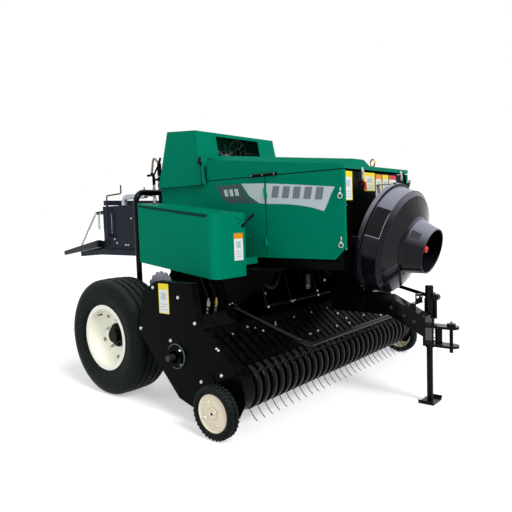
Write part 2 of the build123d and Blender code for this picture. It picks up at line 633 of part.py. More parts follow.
def knotter_hood():
    """Tapered hood over the knotters, open below, with a window in its front face."""
    def ring(inset):
        bottom = [(-HOOD_HALF_BOTTOM + inset, HOOD_FRONT_BOTTOM + inset),
                  (HOOD_HALF_BOTTOM - inset, HOOD_FRONT_BOTTOM + inset),
                  (HOOD_HALF_BOTTOM - inset, HOOD_REAR_BOTTOM - inset),
                  (-HOOD_HALF_BOTTOM + inset, HOOD_REAR_BOTTOM - inset)]
        top = [(-HOOD_HALF_TOP + inset, HOOD_FRONT_TOP + inset),
               (HOOD_HALF_TOP - inset, HOOD_FRONT_TOP + inset),
               (HOOD_HALF_TOP - inset, HOOD_REAR_TOP - inset),
               (-HOOD_HALF_TOP + inset, HOOD_REAR_TOP - inset)]
        high = HOOD_TOP_REAR - inset
        return loft([Plane.XY.offset(HOOD_BOTTOM) * make_face(Polyline(*bottom, close=True)),
                     Plane.XY.offset(high) * make_face(Polyline(*top, close=True))],
                    ruled=True)

    slope = (HOOD_TOP_REAR - HOOD_TOP_FRONT) / (HOOD_REAR_TOP - HOOD_FRONT_TOP)

    def trim(drop):
        y0, y1 = HOOD_FRONT_TOP - 80, HOOD_REAR_TOP + 120
        z0 = HOOD_TOP_FRONT - 80 * slope - drop
        z1 = HOOD_TOP_REAR + 120 * slope - drop
        return side_sheet([(y0, z0), (y1, z1), (y1, z1 + 200), (y0, z0 + 200)],
                          (-600, 600))

    t = PANEL_T
    shell = (ring(0) - trim(0)) - (ring(t) - trim(t))
    window = block((-WINDOW_HALF, WINDOW_HALF), (HOOD_FRONT_BOTTOM, HOOD_FRONT_TOP + 60),
                   WINDOW_Z)
    shell -= window
    rim = block((-HOOD_HALF_BOTTOM, HOOD_HALF_BOTTOM), (HOOD_FRONT_BOTTOM, HOOD_REAR_BOTTOM),
                (HOOD_BOTTOM, HOOD_BOTTOM + t))
    lip = HOOD_HALF_BOTTOM - BODY_HALF + 8
    rim -= block((lip - HOOD_HALF_BOTTOM, HOOD_HALF_BOTTOM - lip),
                 (HOOD_FRONT_BOTTOM + 20, HOOD_REAR_BOTTOM - 12),
                 (HOOD_BOTTOM - 1, HOOD_BOTTOM + t + 1))
    shell += rim & ring(0)
    for side in SIDES.values():
        start = side * (BODY_HALF - PANEL_T - 2 * KNUCKLE)
        shell += block(span(side, abs(start), abs(start) + KNUCKLE - SEAT),
                       (HOOD_REAR_BOTTOM - 3, HOOD_HINGE_Y - 6), (HOOD_BOTTOM, HOOD_BOTTOM + 6))
        shell += hinge_knuckle((start, HOOD_HINGE_Y, HOOD_BOTTOM), (side, 0, 0))
    save("knotter_hood", shell)


def box_top(y):
    """Height of a twine box's lid at a place along the machine."""
    return BOX_TOP_FRONT + BOX_SLOPE * (y - BOX_FRONT)


def box_block(side, inset, drop, rise):
    """The outline of a twine box, set in, with its front outer edge rounded."""
    low = rise - BOX_DEPTH
    points = [(BOX_FRONT + inset, box_top(BOX_FRONT) + low),
              (BOX_REAR - inset, box_top(BOX_REAR) + low),
              (BOX_REAR - inset, box_top(BOX_REAR) - drop),
              (BOX_FRONT + inset, box_top(BOX_FRONT) - drop)]
    solid = side_sheet(points, span(side, BOX_IN + inset, BOX_OUT - inset))
    uprights = solid.edges().filter_by(Axis.Z).group_by(Axis.Y)[0].sort_by(Axis.X)
    return fillet(uprights[0 if side < 0 else -1], BOX_EDGE_R - inset)


def twine_boxes():
    t = PANEL_T
    axis = Vector(0, 1, BOX_SLOPE).normalized()
    low = box_top(BOX_FRONT) - BOX_DEPTH
    for name, side in SIDES.items():
        shell = box_block(side, 0, BOX_LID + SEAT, 0) - box_block(side, t, BOX_LID - 20, t)
        lid = box_block(side, 0, 0, BOX_DEPTH - BOX_LID)
        lid -= box_block(side, t, t, BOX_DEPTH - BOX_LID - 10)
        for y in (BOX_FRONT + 100, BOX_REAR - 160):
            z = box_top(y) - BOX_HINGE_DROP
            start = (side * (BOX_IN - HINGE_R), y, z)
            lid += block(span(side, BOX_IN - 5, BOX_IN + t), (y + 2, y + KNUCKLE - 2),
                         (z - 2, z + 4))
            lid += hinge_knuckle(start, axis)
            lid -= rod(start, tuple(Vector(*start) + axis * KNUCKLE), HINGE_PIN_R + SEAT)
            y += KNUCKLE
            z = box_top(y) - BOX_LID
            shell += block(span(side, BOX_IN - 10, BOX_IN + t / 2), (y + 3, y + KNUCKLE - 3),
                           (z - 30, z - 4))
            shell += block(span(side, BOX_IN - 10, BOX_IN - SEAT), (y + 3, y + KNUCKLE - 3),
                           (z - 30, z + BOX_HINGE_DROP - 4))
            shell += hinge_base(start, axis)
        save(f"twine_lid_{name}", lid)
        front = block(span(side, BODY_HALF, BOX_IN), (BOX_FRONT + 40, BOX_FRONT + 70),
                      (low + 60, low + 100))
        rear = block(span(side, BODY_HALF, BOX_IN), (BOX_REAR - 90, BOX_REAR - 60),
                     (low + 140, low + 180))
        save(f"twine_box_{name}", shell + front + rear)


# ---------------------------------------------------------------- drawbar
def drawbar():
    half, h = TONGUE_W / 2, TONGUE_H / 2
    y0, z0 = TONGUE_FRONT
    y1, z1 = TONGUE_BEND

    def side_view(inset):
        return [(y0, z0 - h + inset), (y1, z1 - h + inset), (TONGUE_REAR, z1 - h + inset),
                (TONGUE_REAR, z1 + h - inset), (y1, z1 + h - inset), (y0, z0 + h - inset)]

    tongue = side_sheet(side_view(0), (-half, half))
    tongue -= side_sheet(side_view(TONGUE_T), (TONGUE_T - half, half - TONGUE_T))
    cheek = side_sheet([(-1385, BODY_BOTTOM - 60), (TONGUE_REAR, BODY_BOTTOM - 60),
                        (TONGUE_REAR, z1 - h), (-1330, z1 - h), (-1385, z1)],
                       (half, half + 12))
    cheeks = cheek + mirror(cheek, Plane.YZ)
    x, y = BRACE_END
    z = FRAME_LOW - 130
    brace = rod((JACK_X - 4, JACK_Y + 16, JACK_TOP - 54), (x, y, z), BRACE_R)
    brace += block((x - 12, x + 12), (y - 12, y + 12), (z - 14, FRAME_LOW))
    brace -= rod((JACK_X, JACK_Y, 500), (JACK_X, JACK_Y, JACK_TOP + 40), JACK_TUBE_R)
    save("drawbar", tongue + cheeks, brace)
    plates = None
    for top in (HITCH_UPPER, HITCH_LOWER):
        z = (top - HITCH_T, top)
        flat = block((-HITCH_W / 2, HITCH_W / 2), (-HITCH_REACH + HITCH_W / 2, y0), z)
        tip = Pos(0, -HITCH_REACH + HITCH_W / 2, z[0]) * Cylinder(
            HITCH_W / 2, HITCH_T, align=(Align.CENTER, Align.CENTER, Align.MIN))
        plates = flat + tip if plates is None else plates + flat + tip
    web = block((-half, half), (y0 - WEB_T, y0), (HITCH_LOWER - HITCH_T, z0 + h))
    sleeve = rod((0, SLEEVE_Y, HITCH_LOWER), (0, SLEEVE_Y, HITCH_UPPER - HITCH_T), 20)
    clevis = plates + web + sleeve
    clevis -= rod((0, HITCH_PIN_Y, HITCH_LOWER - 40), (0, HITCH_PIN_Y, HITCH_UPPER + 40),
                  HITCH_PIN_R + SEAT)
    save("hitch_clevis", clevis)
    pin = rod((0, HITCH_PIN_Y, HITCH_LOWER - 44), (0, HITCH_PIN_Y, HITCH_UPPER + 14),
              HITCH_PIN_R)
    head = rod((0, HITCH_PIN_Y, HITCH_UPPER + SEAT), (0, HITCH_PIN_Y, HITCH_UPPER + 16), 24)
    save("hitch_pin", pin + head)


def jack():
    centre = (JACK_X, JACK_Y)
    tube = rod((*centre, JACK_TUBE_BOTTOM), (*centre, JACK_TOP), JACK_TUBE_R)
    tube -= rod((*centre, JACK_TUBE_BOTTOM - 1), (*centre, JACK_TOP - 10),
                JACK_LEG_R + RUN_CLEARANCE)
    boss = rod((JACK_X + JACK_TUBE_R - 4, JACK_Y, JACK_BOSS_Z),
               (JACK_X + JACK_TUBE_R + 40, JACK_Y, JACK_BOSS_Z), 17)
    mount = block((TONGUE_W / 2, JACK_X - JACK_TUBE_R + 6), (JACK_Y - 22, JACK_Y + 22),
                  (430, 520))
    save("jack_sleeve", tube + boss + mount)
    leg = rod((*centre, JACK_FOOT_T), (*centre, JACK_TUBE_BOTTOM + 110), JACK_LEG_R)
    x, y = JACK_FOOT_HALF
    foot = block((JACK_X - x, JACK_X + x), (JACK_Y - y, JACK_Y + y), (0, JACK_FOOT_T))
    save("jack_leg", leg + foot)


# ---------------------------------------------------------------- pickup
def tangent_point():
    """Where the deck line leaves the drum's nose, and the outward normal there."""
    dy = DECK_END[0] - DRUM_Y
    dz = DECK_END[1] - DRUM_Z
    reach = sqrt(dy * dy + dz * dz)
    along = DRUM_R / reach
    across = sqrt(1 - along * along)
    ny = along * dy / reach - across * dz / reach
    nz = along * dz / reach + across * dy / reach
    return ny, nz


def band_outline(inset):
    """Belly line, nose arc and deck line of a stripper band, set in by inset."""
    ny, nz = tangent_point()
    r = DRUM_R - inset
    start = (BELLY_REAR, DRUM_Z - r)
    low = (DRUM_Y, DRUM_Z - r)
    nose = (DRUM_Y - r * cos(radians(20)), DRUM_Z + r * sin(radians(-20)))
    high = (DRUM_Y + r * ny, DRUM_Z + r * nz)
    end = (DECK_END[0] - inset * ny, DECK_END[1] - inset * nz)
    return start, low, nose, high, end


def band_profile():
    """The section of a stripper band."""
    a0, a1, a2, a3, a4 = band_outline(0)
    b0, b1, b2, b3, b4 = band_outline(BAND_T)
    return make_face([Line(a0, a1), ThreePointArc(a1, a2, a3), Line(a3, a4), Line(a4, b4),
                      Line(b4, b3), ThreePointArc(b3, b2, b1), Line(b1, b0), Line(b0, a0)])


def pickup_sides():
    """Side plates with their folded edges, pivot bearings and gauge-wheel brackets."""
    inner = PICKUP_HALF - SIDE_T
    fold = 52.0
    outline = [(-439, 712), (-566, 783), (-854, 783), (-890, 555), (-923, 545),
               (-1020, 488), (-1183, 314), (-1219, 257), (-1223, 188), (-1180, 108),
               (-843, 94), (-727, 128), (-566, 294), (-392, 470)]
    for name, side in SIDES.items():
        plate = side_sheet(outline, span(side, inner, PICKUP_HALF))
        plate -= disc_x(PIVOT_R, span(side, inner - 1, PICKUP_HALF + 1), PIVOT_Y, PIVOT_Z)
        flange = block(span(side, inner - fold, inner), (-854, -566), (780, 783))
        front = side_sheet([(-854, 780), (-890, 555), (-887, 555), (-851, 780)],
                           span(side, inner - fold, inner))
        bearing = disc_x(58, span(side, PICKUP_HALF, PICKUP_HALF + 24), PIVOT_Y, PIVOT_Z)
        bearing -= disc_x(17 + RUN_CLEARANCE, span(side, inner - 5, PICKUP_HALF + 40),
                          PIVOT_Y, PIVOT_Z)
        bearing -= disc_x(PIVOT_R - 4 + RUN_CLEARANCE,
                          span(side, inner - 5, PICKUP_HALF + 12), PIVOT_Y, PIVOT_Z)
        save(f"pickup_side_{name}", plate + flange + front + bearing, gauge_arm(side))


def pickup_frame():
    """Belly angle, the sheet behind the tines, hoop lugs and the reel's end posts."""
    inner = PICKUP_HALF - SIDE_T
    y, z = BELLY_REAR + 30, DRUM_Z - DRUM_R
    end_y, end_z = DECK_END
    angle = block((-inner, inner), (BELLY_REAR, y), (z - 4, z))
    sheet = side_sheet([(y, z), (y, BACK_SHEET_TOP), (end_y + 70, end_z - 1),
                        (end_y + 4, end_z - 1), (end_y + 4, end_z - 5),
                        (end_y + 67, end_z - 5), (y - 4, BACK_SHEET_TOP - 1), (y - 4, z)],
                       (-inner, inner))
    y0, z0 = WINDGUARD_PIVOT
    half = WINDGUARD_HALF
    lugs = [side_sheet([(end_y + 6, end_z - 4), (end_y + 66, end_z - 4),
                        (y0 + 20, z0 + 18), (y0 - 20, z0 + 18)],
                       span(side, half - 24, half - 16))
            + disc_x(WINDGUARD_PIN_R, span(side, half - 20, half + 14), y0, z0)
            for side in SIDES.values()]
    posts = [side_sheet([(DRUM_Y - POST_HALF, DRUM_Z - POST_HALF / 2),
                         (DRUM_Y + POST_HALF, DRUM_Z - POST_HALF / 2),
                         (DRUM_Y + POST_HALF, DRUM_Z + POST_HALF),
                         (DRUM_Y - POST_HALF, DRUM_Z + POST_HALF)],
                        span(side, inner - 14, inner - SEAT))
             - disc_x(REEL_R + SEAT, span(side, inner - 20, inner), DRUM_Y, DRUM_Z)
             for side in SIDES.values()]
    save("pickup_frame", angle + sheet + lugs, *posts)


def pickup_bands():
    """Stripper bands and the wide end caps."""
    inner = PICKUP_HALF - SIDE_T
    profile = Plane.YZ * band_profile()
    bands = [Pos(x - BAND_W / 2, 0, 0) * extrude(profile, BAND_W) for x in band_places(0.5)]
    for side in SIDES.values():
        x = span(side, inner - CAP_W + 8, inner - SEAT)
        bands.append(Pos(x[0], 0, 0) * extrude(profile, x[1] - x[0]))
    save("pickup_bands", *bands)


def band_places(start):
    """Places across the pickup at band pitch, from a part of one pitch in from the cap."""
    half = PICKUP_HALF - SIDE_T - CAP_W
    pitch = 2 * half / BAND_COUNT
    count = BAND_COUNT if start else BAND_COUNT + 1
    return [(i + start) * pitch - half for i in range(count)]


def bar_places():
    """Angle, y and z of each tine bar round the reel shaft."""
    angles = [radians(360 / TINE_BARS * i + TINE_START) for i in range(TINE_BARS)]
    return [(a, DRUM_Y + BAR_ORBIT * cos(a), DRUM_Z + BAR_ORBIT * sin(a)) for a in angles]


def pickup_reel():
    """Reel shaft with its discs, and the bars that carry the tines."""
    inner = PICKUP_HALF - SIDE_T
    reel = disc_x(REEL_R, (-inner + 4, inner - 4), DRUM_Y, DRUM_Z)
    end = inner - CAP_W + 7
    for x in (-end, -290, 290, end):
        reel += disc_x(REEL_DISC_R, (x - 3, x + 3), DRUM_Y, DRUM_Z)
    holes = [disc_x(BAR_R, (-inner, inner), y, z) for angle, y, z in bar_places()]
    save("reel_shaft", reel - holes)
    bars = []
    reach = TINE_R - BAR_ORBIT
    for angle, y, z in bar_places():
        lean = angle + radians(TINE_LEAN)
        bar = disc_x(BAR_R - SEAT, (-end - 3, end + 3), y, z)
        tip = (y + reach * cos(lean), z + reach * sin(lean))
        for x in band_places(0):
            bar += rod((x, y, z), (x, *tip), TINE_D / 2)
        bars.append(bar)
    save("tine_bars", *bars)


def gauge_arm(side):
    """Bracket and pin of a gauge wheel, on the outer face of a side plate."""
    arm = side_sheet([(GAUGE_Y - 24, GAUGE_R - 22), (GAUGE_Y + 24, GAUGE_R - 22),
                      (GAUGE_Y + 140, 262), (GAUGE_Y + 140, 300), (GAUGE_Y + 90, 300)],
                     span(side, PICKUP_HALF, PICKUP_HALF + 10))
    pin = disc_x(GAUGE_PIN_R, span(side, PICKUP_HALF + 10, GAUGE_OUT - 8), GAUGE_Y, GAUGE_R)
    return arm + pin


def windguard():
    half = WINDGUARD_HALF
    y0, z0 = WINDGUARD_PIVOT
    y, z = WINDGUARD_BAR
    points = [(-half, y0, z0), (-half, y + 20, z + 40), (-half + 90, y, z),
              (half - 90, y, z), (half, y + 20, z + 40), (half, y0, z0)]
    hoop = pipe(points, WINDGUARD_R, 40)
    eyes = [disc_x(2 * WINDGUARD_R, span(side, half - 10, half + 10), y0, z0)
            for side in SIDES.values()]
    bores = [disc_x(WINDGUARD_PIN_R + SEAT, span(side, half - 20, half + 20), y0, z0)
             for side in SIDES.values()]
    under = z - WINDGUARD_R
    fingers = [pipe([(x, y, under), (x, y + 6, under - 29), (x, y + 96, under - 37)],
                    FINGER_R, 14) - hoop for x in range(-6 * FINGER_PITCH, 541, FINGER_PITCH)]
    save("windguard", (hoop + eyes) - bores)
    save("windguard_fingers", *fingers)


# ---------------------------------------------------------------- other fixed pieces
def knotter_stack():
    """Knotter shaft, two knotters and the stand they sit on, with the fan's motor."""
    y, z = KNOTTER_Y, KNOTTER_Z
    roof = CHAMBER_TOP + WALL
    feet = [block(span(side, BALE_W / 2 - 40, BALE_W / 2), (y - 60, y + 60), (roof, z + 40))
            for side in SIDES.values()]
    shaft = disc_x(KNOTTER_SHAFT_R, (-330, 330), y, z)
    discs = [disc_x(KNOTTER_R, (x - 12, x + 12), y, z) for x in (-STRAND_X, STRAND_X)]
    wheel = disc_x(KNOTTER_R + 15, (300, 316), y, z)
    front = FAN_Y + FAN_HUB + SEAT
    motor = rod((0, front, FAN_Z), (0, front + 80, FAN_Z), 34)
    motor += block((-20, 20), (front + 30, front + 60), (roof, FAN_Z))
    motor += block((-BALE_W / 2, BALE_W / 2), (front + 30, front + 60), (roof, roof + 30))
    save("knotters", shaft + feet + discs + wheel + motor)


def fan():
    """Fan that keeps the knotters clean, seen through the hood's window."""
    blades = rod((0, FAN_Y, FAN_Z), (0, FAN_Y + FAN_HUB, FAN_Z), 30)
    for i in range(FAN_BLADES):
        blade = Pos(0, 60, FAN_HUB / 2) * Rot(0, 35, 0) * Box(34, 76, 2.5)
        blades += Pos(0, FAN_Y, FAN_Z) * Rot(-90, 0, 0) * Rot(0, 0, 360 / FAN_BLADES * i) * blade
    save("fan", blades)


def support_hoop():
    """Round hoop over the bale chamber, on two feet at the axle's ends."""
    x, y, top = HOOP_X, HOOP_Y, HOOP_TOP
    low = TYRE_R
    hoop = pipe([(-x, y, low), (-x, y, top), (x, y, top), (x, y, low)], HOOP_R, 70)
    feet = [block(span(side, x - 30, x + 30), (AXLE_SIZE / 2, y + HOOP_R),
                  (low - 20, low + 20)) for side in SIDES.values()]
    save("support_hoop", hoop + feet)


def chamber_pipe():
    """Grey tube that stands on the near chamber wall and bends forward."""
    x, y = PIPE_X, PIPE_Y
    low = CHAMBER_TOP + WALL
    tube = pipe([(x, y, low), (x, y, low + 66), (x, y - 290, low + 66)], PIPE_R, 45)
    save("chamber_pipe", tube)


def length_trip():
    """Bale-length arm and its bracket on the chamber wall behind the hood."""
    x, y, top = TRIP_X, TRIP_Y, TRIP_TOP
    post = block((x - 8, x + 8), (y - 15, y + 15), (CHAMBER_TOP - 60, top))
    foot = block((x + 3, -FRAME_IN), (y - 25, y + 25), (CHAMBER_TOP - 90, CHAMBER_TOP - 30))
    arm = rod((x, y, top), (x, y - 18, top + 40), 9)
    save("length_trip", post + foot + arm)


def drive_sprocket():
    """Toothed wheel below the near twine box, and its bracket from the frame rail."""
    x, y, z = SPROCKET_X, SPROCKET_Y, SPROCKET_Z
    half = SPROCKET_T / 2
    wheel = disc_x(SPROCKET_R, (x - half, x + half), y, z)
    for i in range(SPROCKET_TEETH):
        a = radians(360 / SPROCKET_TEETH * i)
        r = SPROCKET_R + 6
        wheel -= disc_x(16, (x - half - 1, x + half + 1), y + r * cos(a), z + r * sin(a))
    wheel += disc_x(34, (x - half - 8, x + half + 8), y, z)
    wheel -= disc_x(SPROCKET_PIN_R + RUN_CLEARANCE, (x - 40, x + 40), y, z)
    save("drive_sprocket", wheel)
    plate = x + half + 14
    rail = -(BODY_HALF - PANEL_T - SEAT)
    top = FRAME_LOW + 26
    arm = block((plate, rail), (y - 145, y - 115), (top - 24, top))
    arm += side_sheet([(y - 145, top), (y - 115, top), (y + 25, z + 12), (y + 25, z - 22),
                       (y - 25, z - 22), (y - 145, top - 50)], (plate, plate + 10))
    arm += disc_x(SPROCKET_PIN_R, (x - 18, plate), y, z)
    save("sprocket_bracket", arm)


def bale_chute():
    """Two arms that narrow to the rear, on pins outside the chamber walls."""
    y0, z0 = CHUTE_PIN
    size = CHUTE_TUBE
    reach = CHUTE_REACH - y0
    dx = CHUTE_HALF_REAR + size / 2 - CHUTE_HALF_FRONT
    dz = CHUTE_TIP_Z - size / 2 - z0
    past = 1 + 40 / reach
    arms = None
    for side in SIDES.values():
        along = Vector(side * dx, reach, 0)
        plane = Plane(origin=(side * CHUTE_HALF_FRONT, y0, 0), x_dir=along.normalized(),
                      z_dir=Vector(reach, -side * dx, 0).normalized())
        run = along.length * past
        low, high = CHUTE_DEPTH / 2, size / 2
        outline = [(-low / 2, z0 - low), (run, z0 + dz * past - high),
                   (run, z0 + dz * past + high), (-low / 2, z0 + low)]
        arm = extrude(plane * make_face(Polyline(*outline, close=True)), size / 2, both=True)
        arm += disc_x(CHUTE_PIN_R * 2, span(side, CHUTE_HALF_FRONT - size / 2,
                                            CHUTE_HALF_FRONT + size / 2), y0, z0)
        arms = arm if arms is None else arms + arm
    for along in (CHUTE_BAR, reach - 50):
        part = along / reach
        half = CHUTE_HALF_FRONT + dx * part
        z = z0 + dz * part
        arms += block((-half, half), (y0 + along, y0 + along + 30), (z - 6, z + 6))
    arms -= disc_x(CHUTE_PIN_R + RUN_CLEARANCE, (-BALE_W, BALE_W), y0, z0)
    past_end = block((-FRAME_IN, FRAME_IN), (CHUTE_REACH, CHUTE_REACH + 80), (z0 - 300, z0))
    save("bale_chute", arms - past_end)


def plunger():
    """Plunger at its parked place in the front of the chamber."""
    inner = BALE_W / 2 - 8
    face = block((-inner, inner), (-760, -736), (FLOOR_Z + SEAT, CHAMBER_TOP - 8))
    body = block((-inner + 30, inner - 30), (-1040, -760), (FLOOR_Z + 30, CHAMBER_TOP - 40))
    save("plunger", face + body)


def needle_yoke():
    """The two needles on their cross bar below the chamber, at rest."""
    y = NEEDLE_Y
    arm = [side_sheet([(y - 20, TYRE_R + 200), (y + 20, TYRE_R + 200), (y + 14, FLOOR_Z - 50),
                       (y - 14, FLOOR_Z - 50)], (x - 8, x + 8))
           for x in (-STRAND_X, STRAND_X)]
    bar = block((-FRAME_IN - 20, FRAME_IN + 20), (y - 20, y + 20), (TYRE_R + 160, TYRE_R + 200))
    hang = [block(span(side, FRAME_IN, FRAME_IN + 12), (y - 20, y + 20),
                  (TYRE_R + 200, FRAME_BOTTOM)) for side in SIDES.values()]
    save("needle_yoke", bar + arm + hang)


def build():
    os.makedirs("parts", exist_ok=True)
    for name, side in SIDES.items():
        main_wheel(name, side)
        gauge_wheel(name, side)
    axle()
    chamber()
    density_rails()
    body_frame()
    feeder_housing()
    front_frame()
    flywheel_and_guard()
    side_doors()
    top_cover()
    knotter_hood()
    twine_boxes()
    drawbar()
    jack()
    pickup_sides()
    pickup_frame()
    pickup_bands()
    pickup_reel()
    windguard()
    knotter_stack()
    fan()
    support_hoop()
    chamber_pipe()
    length_trip()
    drive_sprocket()
    bale_chute()
    plunger()
    needle_yoke()


build()
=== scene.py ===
from math import cos, pi, radians, sin

import bmesh
import bpy
from mathutils import Matrix, Vector

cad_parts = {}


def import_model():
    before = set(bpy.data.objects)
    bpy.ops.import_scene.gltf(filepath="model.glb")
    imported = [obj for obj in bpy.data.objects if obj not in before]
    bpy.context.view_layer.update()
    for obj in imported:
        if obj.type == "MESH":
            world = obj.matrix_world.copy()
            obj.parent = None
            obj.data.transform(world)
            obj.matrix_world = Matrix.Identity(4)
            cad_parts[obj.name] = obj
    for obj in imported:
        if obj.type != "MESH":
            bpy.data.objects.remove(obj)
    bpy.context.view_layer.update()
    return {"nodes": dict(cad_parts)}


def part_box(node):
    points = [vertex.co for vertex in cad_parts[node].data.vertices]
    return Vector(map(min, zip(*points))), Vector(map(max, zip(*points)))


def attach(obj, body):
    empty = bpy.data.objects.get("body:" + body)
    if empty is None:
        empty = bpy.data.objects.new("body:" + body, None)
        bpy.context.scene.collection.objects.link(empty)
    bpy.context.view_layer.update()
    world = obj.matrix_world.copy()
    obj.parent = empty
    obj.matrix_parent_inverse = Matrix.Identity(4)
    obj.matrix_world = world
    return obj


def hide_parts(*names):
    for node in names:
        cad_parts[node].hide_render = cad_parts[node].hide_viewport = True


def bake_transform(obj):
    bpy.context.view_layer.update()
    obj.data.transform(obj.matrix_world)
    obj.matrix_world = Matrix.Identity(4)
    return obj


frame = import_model()

SIDES = {"right": -1, "left": 1}
UP = Vector((0, 0, 1))
FORWARD = (0, -1, 0)


# ------------------------------------------------------------------ nodes of the finishes
def tint(red, green, blue):
    """A colour written as 0 to 255, as the shader wants it."""
    def linear(c):
        c /= 255
        return c / 12.92 if c <= 0.04045 else ((c + 0.055) / 1.055) ** 2.4
    return (linear(red), linear(green), linear(blue), 1.0)


# the output that is read from each kind of node
OUTPUT = {"TexCoord": "Object", "TexNoise": "Fac", "MapRange": "Result", "Math": 0, "Mix": "Result",
          "VectorMath": 0, "NewGeometry": "Normal", "SeparateXYZ": "Z", "Bevel": "Normal",
          "Bump": "Normal"}


def add_node(tree, kind, sockets=None, output=None, **settings):
    """Adds a node and returns one output; sockets holds a value or a link for each input."""
    node = tree.nodes.new(f"ShaderNode{kind}")
    for name, value in settings.items():
        setattr(node, name, value)
    for key, value in (sockets or {}).items():
        if isinstance(value, bpy.types.NodeSocket):
            tree.links.new(value, node.inputs[key])
        else:
            node.inputs[key].default_value = value
    return node.outputs[OUTPUT[kind] if output is None else output]


def multiply(tree, first, second, **settings):
    """The product of two values or links."""
    return add_node(tree, "Math", {0: first, 1: second}, operation="MULTIPLY", **settings)


def blend_colours(tree, factor, first, second):
    """The first colour, or the second one where the factor is 1."""
    return add_node(tree, "Mix", {"Factor": factor, "A": first, "B": second}, data_type="RGBA")


def group_with(name, inputs, outputs):
    """An empty effect group and its sockets: inputs are (name, type, value)."""
    group = bpy.data.node_groups.new(name, "ShaderNodeTree")
    for label_text, kind, value in inputs:
        socket = group.interface.new_socket(label_text, in_out="INPUT",
                                            socket_type=f"NodeSocket{kind}")
        socket.default_value = value
    for label_text, kind in outputs:
        group.interface.new_socket(label_text, in_out="OUTPUT", socket_type=f"NodeSocket{kind}")
    given, result = group.nodes.new("NodeGroupInput"), group.nodes.new("NodeGroupOutput")
    return group, given.outputs, result.inputs


def make_tone_dust_highlight_group():
    """Slow change of colour, a film of dust on what faces up, and a painted highlight on what faces
    the sky.
    """
    inputs = [("Colour", "Color", (0.5, 0.5, 0.5, 1)), ("Tone", "Float", 0.1),
              ("Tone scale", "Float", 3.0), ("Dust", "Float", 0.1),
              ("Dust colour", "Color", tint(160, 150, 130)), ("Sheen", "Float", 0.0),
              ("Sheen colour", "Color", tint(150, 150, 165))]
    group, given, result = group_with("tone and dust", inputs,
                                      [("Colour", "Color"), ("Mask", "Float")])
    place = add_node(group, "TexCoord")
    noise = add_node(group, "TexNoise", {"Vector": place, "Detail": 5.0,
                                         "Scale": given["Tone scale"]})
    shade = add_node(group, "MapRange", {"Value": noise, "To Min": -1.0})
    depth = add_node(group, "Math", {0: shade, 1: given["Tone"], 2: 1.0},
                     operation="MULTIPLY_ADD")
    toned = add_node(group, "VectorMath", {0: given["Colour"], "Scale": depth},
                     operation="SCALE")
    facing = add_node(group, "SeparateXYZ", {0: add_node(group, "NewGeometry")})
    upward = add_node(group, "MapRange", {"Value": facing, "From Min": -0.2})
    fleck = add_node(group, "TexNoise", {"Vector": place, "Scale": 38.0, "Detail": 6.0})
    patch = add_node(group, "MapRange", {"Value": fleck, "From Min": 0.42, "From Max": 0.72})
    film = multiply(group, upward, patch)
    amount = multiply(group, film, given["Dust"], use_clamp=True)
    dusty = blend_colours(group, amount, toned, given["Dust colour"])
    # painted highlight: what faces the sky is blended towards a pale colour, as if lit from above
    lit = add_node(group, "MapRange", {"Value": facing, "From Min": 0.05, "From Max": 0.98},
                   interpolation_type="SMOOTHSTEP")
    pale = blend_colours(group, multiply(group, lit, given["Sheen"]), dusty,
                         given["Sheen colour"])
    group.links.new(pale, result["Colour"])
    group.links.new(amount, result["Mask"])
    return group


def make_relief_group():
    """Fine surface relief: a broad wave, a close grain, and edges that catch the light."""
    inputs = [("Grain scale", "Float", 300.0), ("Grain depth", "Float", 0.1),
              ("Wave scale", "Float", 6.0), ("Wave depth", "Float", 0.1),
              ("Edge radius", "Float", 0.0015)]
    group, given, result = group_with("relief", inputs, [("Normal", "Vector"), ("Edge", "Float")])
    place = add_node(group, "TexCoord")
    rounded = add_node(group, "Bevel", {"Radius": given["Edge radius"]}, samples=4)
    normal = rounded
    for kind, distance in (("Wave", 0.01), ("Grain", 0.0006)):
        noise = add_node(group, "TexNoise", {"Vector": place, "Detail": 3.0,
                                             "Scale": given[f"{kind} scale"]})
        normal = add_node(group, "Bump", {"Distance": distance, "Height": noise,
                                          "Strength": given[f"{kind} depth"], "Normal": normal})
    group.links.new(normal, result["Normal"])
    match = add_node(group, "VectorMath", {0: rounded, 1: add_node(group, "NewGeometry")},
                     output="Value", operation="DOT_PRODUCT")
    edge = add_node(group, "MapRange", {"Value": match, "From Min": 0.995, "From Max": 0.8})
    group.links.new(edge, result["Edge"])
    return group


TONE_DUST_HIGHLIGHT = make_tone_dust_highlight_group()
RELIEF = make_relief_group()
EDGE_WEAR = 0.35             # share of the edge colour on a sharp edge
DUST_ROUGHNESS = 0.42        # added to the roughness under full dust


def use_group(tree, group, **values):
    """Adds an effect group with its values, and returns its outputs."""
    node = tree.nodes.new("ShaderNodeGroup")
    node.node_tree = group
    for key, value in values.items():
        node.inputs[key.replace("_", " ").capitalize()].default_value = value
    return node.outputs


